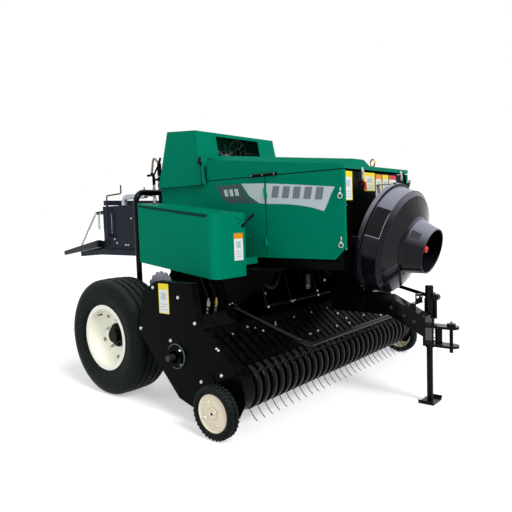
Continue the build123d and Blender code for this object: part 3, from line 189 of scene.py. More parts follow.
def finish_of(name, colour, roughness, specular, tone, dust, grain, wave, edge, metallic=0.0,
              coat=0.0, coat_rough=0.1, tone_scale=3.0, grain_scale=320.0, wave_scale=5.0,
              edge_colour=None, sheen=0.0, sheen_colour=(150, 150, 165)):
    """A finish: colour with tone, dust and a painted highlight on what faces up, roughness that
    follows the dust, and relief.
    """
    material = bpy.data.materials.new(name)
    material.use_nodes = True
    tree = material.node_tree
    shader = tree.nodes["Principled BSDF"].inputs
    shader["Metallic"].default_value = metallic
    shader["Specular IOR Level"].default_value = specular
    shader["Coat Weight"].default_value = coat
    shader["Coat Roughness"].default_value = coat_rough
    # the group's colour holds the tone, the dust and the painted highlight; its mask is the dust
    # alone
    toned = use_group(tree, TONE_DUST_HIGHLIGHT, colour=tint(*colour), tone=tone, tone_scale=tone_scale,
                      dust=dust, sheen=sheen, sheen_colour=tint(*sheen_colour))
    relief = use_group(tree, RELIEF, grain_scale=grain_scale, grain_depth=grain,
                       wave_scale=wave_scale, wave_depth=wave, edge_radius=edge)
    shown = toned["Colour"]
    if edge_colour:
        shown = blend_colours(tree, multiply(tree, relief["Edge"], EDGE_WEAR), shown,
                              tint(*edge_colour))
    rough = add_node(tree, "MapRange", {"Value": toned["Mask"], "To Min": roughness,
                                        "To Max": min(1.0, roughness + DUST_ROUGHNESS)})
    tree.links.new(shown, shader["Base Color"])
    tree.links.new(rough, shader["Roughness"])
    tree.links.new(relief["Normal"], shader["Normal"])
    return material


# after the name and colour: roughness, specular, tone, dust, grain, wave and edge
GREEN = finish_of("green paint", (0, 126, 97), 0.26, 0.015, 0.05, 0.0, 0.03, 0.1, 0.002,
    tone_scale=1.6, wave_scale=2.5, edge_colour=(20, 150, 112))
SHADE_GREEN = finish_of("shaded green", (0, 56, 48), 0.5, 0.05, 0.05, 0.0, 0.05, 0.02, 0.0012)
GREEN_GREY = finish_of("grey green enamel", (58, 78, 78), 0.4, 0.4, 0.1, 0.1, 0.2, 0.05, 0.001,
    edge_colour=(130, 146, 146))
# black paint, with a faint painted highlight on what faces up
BLACK = finish_of("black paint", (2, 4, 3), 0.24, 0.03, 0.12, 0.02, 0.06, 0.1, 0.0016,
    wave_scale=4.0, edge_colour=(58, 64, 64), sheen=0.3, sheen_colour=(36, 40, 40))
# black gloss paint, with a painted highlight on what faces up
BLACK_GLOSS = finish_of("black gloss paint", (3, 5, 4), 0.12, 0.1, 0.1, 0.015, 0.03, 0.08, 0.0014,
    edge_colour=(56, 62, 62), sheen=0.4, sheen_colour=(48, 54, 54))
BAND_BLACK = finish_of("black band paint", (3, 4, 4), 0.3, 0.04, 0.2, 0.02, 0.06, 0.1, 0.0014,
    edge_colour=(44, 48, 48))
SLATE = finish_of("slate paint", (32, 39, 50), 0.36, 0.06, 0.09, 0.04, 0.1, 0.08, 0.0014,
    edge_colour=(110, 112, 122))
CHUTE_DARK = finish_of("dark chute paint", (14, 13, 19), 0.36, 0.05, 0.09, 0.04, 0.1, 0.08, 0.0014,
    edge_colour=(90, 90, 100))
CREAM = finish_of("cream paint", (255, 254, 238), 0.32, 0.15, 0.025, 0.04, 0.05, 0.05, 0.0015)
CREAM_WARM = finish_of("warm cream paint", (240, 228, 202), 0.36, 0.15, 0.03, 0.08, 0.06, 0.05,
    0.0015)
PALE_SHADE = finish_of("shaded cream", (150, 150, 134), 0.5, 0.1, 0.05, 0.05, 0.1, 0.02, 0.0012)
# tyre rubber, with a painted highlight on the shoulders and what faces up
RUBBER = finish_of("tyre rubber", (12, 20, 18), 0.5, 0.06, 0.12, 0.03, 0.25, 0.05, 0.0018,
    tone_scale=7.0, grain_scale=420.0, wave_scale=22.0, sheen=0.35, sheen_colour=(62, 70, 68))
# the guard's pale top is a painted highlight, not the plastic's own colour
GUARD = finish_of("grey guard plastic", (14, 11, 19), 0.2, 0.12, 0.06, 0.02, 0.06, 0.05, 0.003,
    coat=0.08, coat_rough=0.06, grain_scale=500.0, wave_scale=4.0, edge_colour=(96, 96, 108),
    sheen=0.75, sheen_colour=(168, 168, 186))
# dark guard plastic for the hatches, and painted shade for the grooves and the mouth's lining; a
# faint painted highlight on what faces up
GUARD_DARK_AND_SHADE = finish_of("dark guard plastic and painted shade", (8, 7, 12), 0.2, 0.1, 0.06, 0.02, 0.1, 0.02, 0.001,
    sheen=0.12, sheen_colour=(80, 80, 96))
PATCH_GREY = finish_of("grey patch plastic", (58, 62, 66), 0.3, 0.1, 0.06, 0.02, 0.1, 0.02, 0.001)
PLASTIC = finish_of("black plastic", (6, 8, 8), 0.35, 0.08, 0.08, 0.06, 0.1, 0.03, 0.001,
    edge_colour=(70, 72, 74))
RED = finish_of("red plastic", (205, 28, 36), 0.34, 0.4, 0.06, 0.04, 0.05, 0.03, 0.0006)
FAN_GREY = finish_of("grey fan plastic", (120, 124, 128), 0.4, 0.2, 0.1, 0.1, 0.1, 0.03, 0.0012)
HOSE = finish_of("hose rubber", (14, 15, 15), 0.45, 0.12, 0.1, 0.08, 0.3, 0.02, 0.0005,
    grain_scale=700.0)
DARK_STEEL = finish_of("dark steel", (52, 52, 52), 0.45, 0.5, 0.2, 0.12, 0.2, 0.05, 0.0012,
    metallic=0.7, tone_scale=16.0)
CHAIN_STEEL = finish_of("chain steel", (168, 168, 170), 0.4, 0.5, 0.15, 0.05, 0.1, 0.02, 0.0004,
    metallic=0.6, tone_scale=40.0)
TINE_STEEL = finish_of("tine steel", (52, 50, 50), 0.35, 0.3, 0.12, 0.02, 0.1, 0.02, 0.0004,
    metallic=0.4, tone_scale=30.0)
ZINC = finish_of("zinc plate", (205, 205, 202), 0.3, 0.5, 0.1, 0.04, 0.1, 0.02, 0.0006,
    metallic=1.0, tone_scale=30.0)
YELLOW_ZINC = finish_of("yellow zinc plate", (205, 188, 96), 0.32, 0.5, 0.12, 0.04, 0.1, 0.02,
    0.0006, metallic=1.0, tone_scale=30.0)
BRASS = finish_of("brass", (196, 160, 96), 0.34, 0.5, 0.12, 0.06, 0.1, 0.02, 0.0006,
    metallic=1.0, tone_scale=30.0)
GALVANISED = finish_of("galvanised sheet", (172, 176, 186), 0.46, 0.5, 0.16, 0.08, 0.1, 0.06,
    0.0012, metallic=0.85, tone_scale=24.0)
CAST = finish_of("cast iron paint", (30, 31, 33), 0.55, 0.3, 0.15, 0.15, 0.6, 0.1, 0.0012,
    grain_scale=160.0)
TAN = finish_of("tan painted strap", (150, 122, 112), 0.5, 0.3, 0.15, 0.1, 0.2, 0.1, 0.001)
SILVER_PRINT = finish_of("silver stripe film", (190, 204, 206), 0.34, 0.3, 0.05, 0.02, 0.02,
    0.05, 0.0003, tone_scale=5.0)
BAR_PRINT = finish_of("grey bar film", (116, 122, 128), 0.3, 0.2, 0.2, 0.02, 0.02, 0.05, 0.0003,
    tone_scale=9.0)
DARK_PRINT = finish_of("dark stripe film", (44, 74, 74), 0.34, 0.3, 0.05, 0.02, 0.02, 0.05, 0.0003)
WHITE_LABEL = finish_of("white label", (236, 236, 230), 0.4, 0.3, 0.03, 0.04, 0.02, 0.03, 0.0003)
CREAM_LABEL = finish_of("pale label", (238, 236, 196), 0.4, 0.3, 0.03, 0.04, 0.02, 0.03, 0.0003)
YELLOW_LABEL = finish_of("yellow label", (248, 222, 30), 0.4, 0.3, 0.04, 0.04, 0.02, 0.03, 0.0003)
ORANGE_LABEL = finish_of("orange label", (240, 150, 30), 0.4, 0.3, 0.04, 0.04, 0.02, 0.03, 0.0003)


# ------------------------------------------------------------------ mesh tools
# the slot that a piece takes from its finish, where its call names no other
SLOT_FINISHES = {
    "tyre": [RUBBER],
    "rim_cream": [CREAM],
    "gauge_cream": [CREAM_WARM],
    "steel": [ZINC, BRASS, DARK_STEEL, CHAIN_STEEL, TINE_STEEL],
    "black_plate": [BLACK, BLACK_GLOSS, BAND_BLACK],
    "black_plastic": [PLASTIC, HOSE],
    "guard_plastic": [GUARD, GUARD_DARK_AND_SHADE],
    "dark_paint": [GREEN_GREY, SLATE],
}
SLOT_OF = {finish: slot for slot, finishes in SLOT_FINISHES.items() for finish in finishes}


def piece(name, mesh, body, material, sharp=38, slot=None):
    """Turns a finished bmesh into a named object that rides on a body."""
    slot = slot or SLOT_OF.get(material)
    bmesh.ops.recalc_face_normals(mesh, faces=mesh.faces)
    data = bpy.data.meshes.new(name)
    mesh.to_mesh(data)
    mesh.free()
    data.materials.append(material)
    for polygon in data.polygons:
        polygon.use_smooth = True
    data.set_sharp_from_angle(angle=radians(sharp))
    made = bpy.data.objects.new(name, data)
    bpy.context.scene.collection.objects.link(made)
    if body:
        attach(made, body)
    return made


def frame_along(direction):
    """Two directions across a given one."""
    direction = Vector(direction).normalized()
    side = direction.cross(UP)
    if side.length < 1e-4:
        side = Vector((1, 0, 0))
    side.normalize()
    return side, direction.cross(side).normalized()


def circle(centre, across, other, radius, count):
    """Points round a centre, in the plane of two directions."""
    turn = [2 * pi * k / count for k in range(count)]
    return [centre + (across * cos(a) + other * sin(a)) * radius for a in turn]


def spoke(angle):
    """A direction square to the axle, the angle in degrees from +Y towards up."""
    return Vector((0, cos(radians(angle)), sin(radians(angle))))


def add_rings(mesh, rings, closed=False, capped=True):
    """Faces between rings of vertices, all of one length."""
    made = [[mesh.verts.new(point) for point in ring] for ring in rings]
    count = len(made[0])
    pairs = list(zip(made, made[1:])) + ([(made[-1], made[0])] if closed else [])
    for low, high in pairs:
        for i in range(count):
            j = (i + 1) % count
            mesh.faces.new((low[i], low[j], high[j], high[i]))
    if capped and not closed:
        mesh.faces.new(list(reversed(made[0])))
        mesh.faces.new(made[-1])


def add_slab(mesh, face, offset):
    """A flat sheet: a face, and the same face moved by the offset."""
    add_rings(mesh, [face, [point + Vector(offset) for point in face]])


def add_block(mesh, xs, ys, zs):
    """A box between two places on each axis, y counted from the main axle."""
    low, high = at_axle(min(xs), min(ys), min(zs)), at_axle(max(xs), max(ys), max(zs))
    corners = ((low.x, low.y), (high.x, low.y), (high.x, high.y), (low.x, high.y))
    add_slab(mesh, [Vector((x, y, low.z)) for x, y in corners], (0, 0, high.z - low.z))


def add_tube(mesh, points, radius, sides=14, closed=False):
    """A round bar or hose through points; radius may be one per point."""
    points = [Vector(p) for p in points]
    count = len(points)
    radii = radius if isinstance(radius, (list, tuple)) else [radius] * count
    rings = []
    across = None
    for i, point in enumerate(points):
        before = points[i - 1] if i or closed else point
        after = points[(i + 1) % count] if i + 1 < count or closed else point
        along = (after - before).normalized()
        if across is None:
            across = frame_along(along)[0]
        across = (across - along * across.dot(along)).normalized()
        rings.append(circle(point, across, along.cross(across), radii[i], sides))
    add_rings(mesh, rings, closed)


def add_lathe(mesh, profile, centre, axis, segments=48):
    """A turned shape: profile points are (along, radius) from the centre along the axis."""
    centre, axis = Vector(centre), Vector(axis).normalized()
    across, other = frame_along(axis)
    columns = []
    for k in range(segments):
        a = 2 * pi * k / segments
        out = across * cos(a) + other * sin(a)
        points = profile(a) if callable(profile) else profile
        columns.append([centre + axis * along + out * radius for along, radius in points])
    add_rings(mesh, columns, closed=True)


def turned(name, profile, centre, axis, segments, body, material, **choices):
    """A piece that is one turned shape."""
    mesh = bmesh.new()
    add_lathe(mesh, profile, centre, axis, segments)
    return piece(name, mesh, body, material, **choices)


WASHER_HEIGHT, WASHER_REACH = 0.22, 1.15     # as shares of the bolt's size
HEAD_CHAMFER, HEAD_TOP = 0.8, 0.86           # where the chamfer starts, and the top's share


def add_bolt(mesh, centre, axis, size=0.01, head=0.007, washer=True):
    """A hexagon head on a washer, its underside at the centre."""
    centre, axis = Vector(centre), Vector(axis).normalized()
    across, other = frame_along(axis)
    base = size * WASHER_HEIGHT if washer else 0.0
    if washer:
        add_rings(mesh, [circle(centre + axis * along, across, other, size * WASHER_REACH, 20)
                         for along in (0, base)])
    levels = ((base, 1.0), (base + head * HEAD_CHAMFER, 1.0), (base + head, HEAD_TOP))
    add_rings(mesh, [circle(centre + axis * along, across, other, size * reach, 6)
                     for along, reach in levels])


def add_bolts(mesh, spots, axis, size, head):
    """One size of bolt at several places."""
    for spot in spots:
        add_bolt(mesh, spot, axis, size, head)


def add_nut_on_stud(mesh, centre, axis, size=0.01):
    """A nut with the stud's end showing."""
    axis = Vector(axis).normalized()
    add_bolt(mesh, centre, axis, size, size * 0.8)
    end = Vector(centre) + axis * size
    add_tube(mesh, [end, end + axis * size * 0.7], size * 0.5, 10)


def add_ring(mesh, centre, axis, radius, wire, segments=28, sides=8):
    """A closed ring of round wire."""
    points = circle(Vector(centre), *frame_along(axis), radius, segments)
    add_tube(mesh, points, wire, sides, closed=True)


def arc(centre, across, up, radius, start, end, steps=12):
    """Points on an arc; angles in degrees from across towards up."""
    centre, across, up = Vector(centre), Vector(across).normalized(), Vector(up).normalized()
    turn = [radians(start + (end - start) * k / steps) for k in range(steps + 1)]
    return [centre + across * radius * cos(a) + up * radius * sin(a) for a in turn]


def smooth_line(points, steps=8):
    """A smooth line through points, for hoses and bent wire."""
    points = [Vector(p) for p in points]
    padded = [points[0] * 2 - points[1]] + points + [points[-1] * 2 - points[-2]]
    line = []
    for a, b, c, d in zip(padded, padded[1:], padded[2:], padded[3:]):
        for k in range(steps):
            t = k / steps
            line.append(0.5 * (2 * b + (c - a) * t + (2 * a - 5 * b + 4 * c - d) * t * t
                               + (3 * b - a - 3 * c + d) * t ** 3))
    return line + [points[-1]]


LINK_PITCH, LINK_BOW = 0.78, 0.26    # pitch, and radius of the bows, as shares of a link


def add_chain(mesh, start, end, link, wire):
    """A straight chain of oval links, each turned a quarter from the last."""
    start, end = Vector(start), Vector(end)
    along = (end - start).normalized()
    flat, upright = frame_along(along)
    count = max(2, round((end - start).length / (link * LINK_PITCH)))
    bow = link * LINK_BOW
    half = link / 2 - bow
    for k in range(count):
        middle_point = start.lerp(end, (k + 0.5) / count)
        wide = flat if k % 2 else upright
        points = arc(middle_point + along * half, wide, along, bow, 0, 180, 6)
        points += arc(middle_point - along * half, wide, along, bow, 180, 360, 6)
        add_tube(mesh, points, wire, 6, closed=True)


# ------------------------------------------------------------------ finishes of the CAD nodes
def both(*stems):
    """The names of the nodes on both sides."""
    return [f"{stem}_{side}" for stem in stems for side in SIDES]


NODE_FINISH = {
    GREEN: both("side_door", "rear_panel", "twine_box", "twine_lid") + ["top_cover",
                                                                        "knotter_hood"],
    CREAM: both("rim"),
    CREAM_WARM: both("gauge_disc"),
    RUBBER: both("tyre", "gauge_tyre"),
    GUARD: ["flywheel_guard"],
    SLATE: both("chamber_wall") + ["chamber_roof", "chamber_floor", "tension_gear"],
    CHUTE_DARK: ["bale_chute"],
    BLACK: both("pickup_side") + ["axle_beam", "body_frame", "front_panel", "needle_yoke",
                                  "length_trip", "sprocket_bracket"],
    BAND_BLACK: ["pickup_bands", "feeder_housing", "pickup_frame"],
    BLACK_GLOSS: ["windguard", "windguard_fingers", "support_hoop", "drawbar",
                  "hitch_clevis", "hitch_pin", "jack_sleeve", "jack_leg"],
    PLASTIC: both("hub"),
    RED: ["shaft_cap"],
    FAN_GREY: ["fan"],
    CAST: ["gearbox", "flywheel"],
    DARK_STEEL: ["tine_bars", "reel_shaft", "pickup_pivot_tube", "knotters", "plunger"],
    GALVANISED: ["chamber_pipe", "drive_sprocket"],
}
for finish, node_names in NODE_FINISH.items():
    for node_name in node_names:
        node = frame["nodes"][node_name]
        node.data.materials.clear()
        node.data.materials.append(finish)


# ------------------------------------------------------------------ places taken from the frame
def middle(node_name):
    """Middle of a CAD node's box."""
    low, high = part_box(node_name)
    return (low + high) / 2


def half_width(node_name):
    """Half of a CAD node's box along X."""
    low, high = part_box(node_name)
    return (high.x - low.x) / 2


WHEEL = {name: middle(f"tyre_{name}") for name in SIDES}
AXLE_Y = WHEEL["right"].y
TYRE_R = WHEEL["right"].z
TYRE_HALF = half_width("tyre_right")
GAUGE = {name: middle(f"gauge_tyre_{name}") for name in SIDES}
GAUGE_R = GAUGE["right"].z
GAUGE_HALF = half_width("gauge_tyre_right")


def at_axle(x, y, z):
    """A place with y counted from the main axle, all in metres."""
    return Vector((x, AXLE_Y + y, z))


def route(*places):
    """Places (x, y from the axle, z)."""
    return [at_axle(*place) for place in places]


def at_x(x, places):
    """Places (y from the axle, z) in the plane at x."""
    return [at_axle(x, y, z) for y, z in places]


def on_both_sides(*builders):
    """Builds the right side and then the left one: side is -1 or 1 along X."""
    for name, side in SIDES.items():
        for build in builders:
            build(name, side)


# ------------------------------------------------------------------ main wheels
TREAD_GROOVES = (-0.072, -0.026, 0.026, 0.072)
GROOVE_HALF = 0.0065
GROOVE_DEPTH = 0.011
GROOVE_WANDER = 0.0028
CROWN_BOW = 0.9              # how fast the crown falls away from the middle
FACE_LEVEL = 0.0168          # outer face of the wheel disc, from the tyre's middle
# one side of the tyre's section, from bead to shoulder: (along, radius)
SIDEWALL = [(-0.106, 0.196), (-0.118, 0.214), (-0.1195, 0.226), (-0.1275, 0.25),
            (-TYRE_HALF, 0.283), (-0.1305, 0.318), (-0.1275, 0.338), (-0.1215, 0.357),
            (-0.112, 0.3695), (-0.1, 0.376)]
SIDEWALL_RINGS = ((0.229, 0.1205), (0.236, 0.123), (0.296, 0.1312), (0.312, 0.1308))
# the rim's bowl, from its lip to the hub: (along, radius)
BOWL = [(0.1165, 0.2155), (0.118, 0.213), (0.1175, 0.2085), (0.112, 0.2035),
        (0.1, 0.1985), (0.093, 0.192), (0.085, 0.1885), (0.07, 0.182),
        (0.05, 0.172), (0.034, 0.16), (0.024, 0.146), (0.018, 0.13),
        (FACE_LEVEL, 0.116), (0.0166, 0.08)]
HOLE_LEAN = (0.882, -0.47)  # normal of the disc's cone at a hand hole: out, away
STUD_CIRCLE, HOLE_CIRCLE, VALVE_CIRCLE = 0.103, 0.146, 0.17
HUB_BOLT_CIRCLE, HUB_SCREW_CIRCLE = 0.06, 0.034


def tyre_profile(angle):
    """Section of a ribbed implement tyre; the inner grooves wander from side to side."""
    wander = GROOVE_WANDER * sin(angle * 36)
    points = list(SIDEWALL)
    for groove in TREAD_GROOVES:
        crown = TYRE_R - CROWN_BOW * (groove * groove) / 2
        shift = wander if abs(groove) < 0.05 else 0.0
        low, high = groove - GROOVE_HALF + shift, groove + GROOVE_HALF + shift
        points += [(low - 0.0015, crown), (low, crown - 0.0015),
                   (low + 0.001, crown - GROOVE_DEPTH), (high - 0.001, crown - GROOVE_DEPTH),
                   (high, crown - 0.0015), (high + 0.0015, crown)]
    return points + [(-along, radius) for along, radius in reversed(SIDEWALL)]


def main_wheel(name, side):
    """Ribbed tyre, rim bowl with hand holes drawn as discs of painted shade, wheel nuts, valve and
    hub face.
    """
    centre, out = WHEEL[name], Vector((side, 0, 0))
    body = f"wheel_{name}"
    tyre = turned(f"tyre_ribbed_{name}", tyre_profile, centre, out, 288, body, RUBBER, sharp=30)
    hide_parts(f"tyre_{name}")
    mesh = bmesh.new()
    for radius, along in SIDEWALL_RINGS:
        points = arc(centre + out * along, (0, 1, 0), UP, radius, 0, 360, 96)[:-1]
        add_tube(mesh, points, 0.0016, 6, closed=True)
    piece(f"tyre_rings_{name}", mesh, body, RUBBER)
    back = [(along - 0.003, radius - (0.002 if radius > 0.19 else 0))
            for along, radius in reversed(BOWL)]
    turned(f"rim_bowl_{name}", BOWL + back, centre, out, 120, body, CREAM)
    studs, holes, lips = bmesh.new(), bmesh.new(), bmesh.new()
    # each hand hole is a thin disc in shaded cream: painted shade for the view into the hole
    hole = [(0.001, 0.0002), (0.001, 0.015), (-0.001, 0.015), (-0.001, 0.0002)]
    for k in range(5):
        spot = centre + out * FACE_LEVEL + spoke(90 - 72 * k) * STUD_CIRCLE
        add_nut_on_stud(studs, spot, out, 0.013)
        away = spoke(54 - 72 * k)
        lean = (out * HOLE_LEAN[0] + away * HOLE_LEAN[1]).normalized()
        spot = centre + out * 0.0246 + away * HOLE_CIRCLE
        add_lathe(holes, hole, spot, lean, 28)
        add_ring(lips, spot + lean * 0.0008, lean, 0.0155, 0.0014)
    piece(f"wheel_nuts_{name}", studs, body, ZINC)
    piece(f"hand_hole_shades_{name}", holes, body, PALE_SHADE)
    piece(f"hand_hole_lips_{name}", lips, body, CREAM)
    mesh = bmesh.new()
    spot = centre + out * 0.06 + Vector((0, 0.62, 0.78)).normalized() * VALVE_CIRCLE
    add_tube(mesh, [spot, spot + out * 0.022, spot + out * 0.036], [0.005, 0.004, 0.0034], 10)
    piece(f"valve_{name}", mesh, body, PLASTIC)
    hub_low, hub_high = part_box(f"hub_{name}")
    face = Vector((hub_high.x if side > 0 else hub_low.x, centre.y, centre.z))
    mesh = bmesh.new()
    add_lathe(mesh, [(-0.001, 0.04), (0.0004, 0.0385), (0.0004, 0.03), (-0.002, 0.028),
                     (-0.002, 0.0002), (-0.01, 0.0002), (-0.01, 0.04)], face, out, 40)
    for k in range(6):
        spot = face - out * 0.037 + spoke(60 * k + 20) * HUB_BOLT_CIRCLE
        add_bolt(mesh, spot, out, 0.0095, 0.008)
    for k in range(3):
        spot = face - out * 0.0002 + spoke(120 * k + 50) * HUB_SCREW_CIRCLE
        add_bolt(mesh, spot, out, 0.003, 0.002, washer=False)
    piece(f"hub_face_{name}", mesh, body, PLASTIC)


# ------------------------------------------------------------------ gauge wheels
GAUGE_LUGS = 34              # on each flank
LUG_HALF = 0.0052            # half the thickness of a lug at its foot
GAUGE_BOLT_CIRCLE = 0.063
# half of the tyre's section, from bead to the middle groove: (along, radius)
GAUGE_SECTION = [(0.0225, 0.1015), (0.0285, 0.1045), (0.0325, 0.113), (GAUGE_HALF, 0.119),
                 (0.0325, 0.1265), (0.028, GAUGE_R - 0.0095), (0.022, GAUGE_R - 0.0075),
                 (0.02, GAUGE_R - 0.0065), (0.008, GAUGE_R - 0.0055),
                 (0.006, GAUGE_R - 0.0095)]
# a lug's ridge, from the sidewall to the middle: (along, radius)
LUG_RIDGE = ((0.0325, 0.124), (0.03, GAUGE_R - 0.0075), (0.0255, GAUGE_R - 0.0012),
             (0.009, GAUGE_R - 0.0007), (0.005, GAUGE_R - 0.0007))
HUB_RING = [(0.025, 0.0305), (0.0285, 0.029), (0.0285, 0.0235), (0.025, 0.0235)]
DISH = [(0.0255, 0.1), (0.0262, 0.0965), (0.0235, 0.093), (0.0205, 0.09),
        (0.0215, 0.07), (0.025, 0.056), (0.0255, 0.04), (0.0225, 0.033),
        (0.0222, 0.027)]


def gauge_wheel(name, side):
    """Small lugged tyre, dish, bolts and hub ring."""
    centre, out = GAUGE[name], Vector((side, 0, 0))
    body = f"gauge_wheel_{name}"
    mesh = bmesh.new()
    profile = [(-along, radius) for along, radius in GAUGE_SECTION]
    add_lathe(mesh, profile + list(reversed(GAUGE_SECTION)), centre, out, segments=120)
    for k in range(GAUGE_LUGS):
        for flank in (-1, 1):
            a = 2 * pi * (k + (0.5 if flank > 0 else 0.0)) / GAUGE_LUGS
            ahead, outward = Vector((0, -sin(a), cos(a))), Vector((0, cos(a), sin(a)))
            rings = []
            for along, radius in LUG_RIDGE:
                lean = 0.3 * (0.033 - along)
                base = centre + out * flank * along + ahead * lean
                top, foot = base + outward * radius, base + outward * (radius - 0.01)
                rings.append([foot - ahead * LUG_HALF, top - ahead * LUG_HALF * 0.8,
                              top + ahead * LUG_HALF * 0.8, foot + ahead * LUG_HALF])
            add_rings(mesh, rings)
    tyre = piece(f"gauge_tyre_lugged_{name}", mesh, body, RUBBER, sharp=30)
    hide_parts(f"gauge_tyre_{name}")
    back = [(along - 0.0025, radius) for along, radius in reversed(DISH)]
    turned(f"gauge_dish_{name}", DISH + back, centre, out, 72, body, CREAM_WARM)
    mesh = bmesh.new()
    for k in range(4):
        spot = centre + out * 0.0206 + spoke(90 * k + 62) * GAUGE_BOLT_CIRCLE
        add_nut_on_stud(mesh, spot, out, 0.0072)
    add_lathe(mesh, [(0.0268, 0.0225), (0.0268, 0.013), (0.0295, 0.012), (0.0295, 0.008),
                     (0.0262, 0.008), (0.0262, 0.0225)], centre, out, 32)
    piece(f"gauge_bolts_{name}", mesh, body, ZINC)
    turned(f"gauge_hub_ring_{name}", HUB_RING, centre, out, 40, body, CREAM_WARM)


on_both_sides(main_wheel, gauge_wheel)


# ------------------------------------------------------------------ labels and film
FILM = 0.0006
LABEL_SHEET = 0.0004


def label(name, origin, across, up, width, height, body, header, ground=WHITE_LABEL):
    """A blank label: a coloured header, a plain sign panel and rows of grey bars."""
    origin, across, up = Vector(origin), Vector(across).normalized(), Vector(up).normalized()
    out = across.cross(up)

    def patch(part, a0, a1, b0, b1, level, material):
        base = origin + out * level
        face = [base + across * width * a + up * height * b
                for a, b in ((a0, b0), (a1, b0), (a1, b1), (a0, b1))]
        mesh = bmesh.new()
        add_slab(mesh, face, out * LABEL_SHEET)
        piece(f"{name}_{part}", mesh, body, material)

    patch("ground", 0, 1, 0, 1, 0.0002, header if header is YELLOW_LABEL else ground)
    patch("sheet", 0.07, 0.93, 0.025, 0.8, 0.0004, ground)
    patch("header", 0, 1, 0.8, 1, 0.0005, header)
    for k, length in enumerate((0.72, 0.56, 0.66)):
        low = 0.12 + 0.09 * k
        patch(f"bar_{k}", 0.14, 0.14 + length, low, low + 0.03, 0.0007, SILVER_PRINT)
    patch("panel", 0.26, 0.74, 0.46, 0.7, 0.0007, SILVER_PRINT)


def stripe(name, points, x, body, material, side):
    """A stripe film on a side panel: points are (y from the axle, z)."""
    mesh = bmesh.new()
    add_slab(mesh, at_x(x + side * 0.0004, points), (side * FILM, 0, 0))
    piece(name, mesh, body, material)


# ------------------------------------------------------------------ pickup sides
PICKUP_PLATE_X = 0.997
PIVOT = (-0.722, 0.368)      # places here are (y from the axle, z)
PIVOT_BOLT_CIRCLE = 0.051
PLATE_BOLTS = ((-0.752, 0.701), (-0.879, 0.569), (-0.412, 0.492), (-0.676, 0.45),
               (-0.912, 0.253), (-1.066, 0.313), (-0.54, 0.745))
SMALL_BOLTS = ((-1.05, 0.444), (-1.036, 0.452))
BEARING = [(0.0004, 0.068), (0.0085, 0.068), (0.0095, 0.066), (0.0095, 0.04),
           (0.024, 0.036), (0.024, 0.018), (0.0004, 0.018)]
BEARING_RIM = [(-0.006, 0.0715), (0.0, 0.0715), (0.0012, 0.07), (0.0012, 0.0665),
               (0.0, 0.065), (-0.006, 0.065)]


def pickup_side(name, side):
    """Bolts, pivot bearing and blank label of a side plate."""
    out = Vector((side, 0, 0))
    pivot = at_axle(side * PICKUP_PLATE_X, *PIVOT)
    mesh = bmesh.new()
    add_bolts(mesh, at_x(pivot.x, PLATE_BOLTS), out, 0.0085, 0.006)
    for k in range(4):
        spot = pivot + out * 0.0098 + spoke(90 * k + 45) * PIVOT_BOLT_CIRCLE
        add_bolt(mesh, spot, out, 0.01, 0.009)
    piece(f"side_plate_bolts_{name}", mesh, "pickup", ZINC)
    turned(f"bearing_{name}", BEARING, pivot, out, 48, "pickup", BLACK)
    turned(f"bearing_rim_{name}", BEARING_RIM, pivot + out * 0.0096, out, 48, "pickup",
           GREEN_GREY)
    mesh = bmesh.new()
    add_bolts(mesh, at_x(pivot.x, SMALL_BOLTS), out, 0.0055, 0.005)
    piece(f"small_plate_bolts_{name}", mesh, "pickup", ZINC)
    corner = at_axle(side * (PICKUP_PLATE_X + 0.0002), -0.6305 - side * 0.0435, 0.6)
    label(f"side_label_{name}", corner, (0, side, 0), UP, 0.087, 0.172, "pickup", YELLOW_LABEL)


on_both_sides(pickup_side)


# ------------------------------------------------------------------ body panels
PANEL_X = 0.407
FRONT_Y = -1.468
SEAM_Y = -0.919
LATCH_HEIGHTS = (1.246, 0.976)
COVER_ROD_Z = 1.385
COVER_ROD_BRACKETS = (-1.000, -0.912, -0.824)


def body_stripes(name, side):
    """Plain stripes and slanted bars, the front ones on the side door."""
    x, door = side * PANEL_X, f"door_{name}"
    bar_x = x + side * 0.0007
    ahead, behind = SEAM_Y - 0.008, SEAM_Y + 0.008
    lower = smooth_line([(0, ahead, 1.208), (0, -1.02, 1.204), (0, -1.123, 1.196),
                         (0, -1.24, 1.178), (0, -1.338, 1.152)], 6)
    front = smooth_line([(0, -1.338, 1.152), (0, -1.36, 1.19), (0, -1.384, 1.24),
                         (0, -1.412, 1.284)], 5)
    outline = [(p.y, p.z) for p in front[1:-1]]
    outline += [(-1.412, 1.284), (-1.14, 1.312), (ahead, 1.332)]
    outline += [(p.y, p.z) for p in lower]
    stripe(f"silver_stripe_front_{name}", outline, x, door, SILVER_PRINT, side)
    rear = [(behind, 1.333), (-0.726, 1.343), (-0.79, 1.262), (-0.868, 1.215), (behind, 1.21)]
    stripe(f"silver_stripe_rear_{name}", rear, x, "root", SILVER_PRINT, side)
    dark = [(-0.714, 1.34), (-0.5, 1.34), (-0.56, 1.262), (-0.606, 1.226),
            (-0.85, 1.214), (-0.776, 1.262)]
    stripe(f"dark_stripe_{name}", dark, x, "root", DARK_PRINT, side)
    for k in range(5):
        y, z = -0.965 - 0.078 * k, 1.244 - 0.006 * k
        bar = [(y, z), (y - 0.05, z - 0.003), (y - 0.064, z + 0.066), (y - 0.014, z + 0.069)]
        stripe(f"slanted_bar_{name}_{k}", bar, bar_x, door, BAR_PRINT, side)
    for k in range(3):
        y = -0.585 - 0.046 * k
        bar = [(y, 1.268), (y - 0.03, 1.268), (y - 0.018, 1.312), (y + 0.012, 1.312)]
        stripe(f"small_bar_{name}_{k}", bar, bar_x, "root", SILVER_PRINT, side)


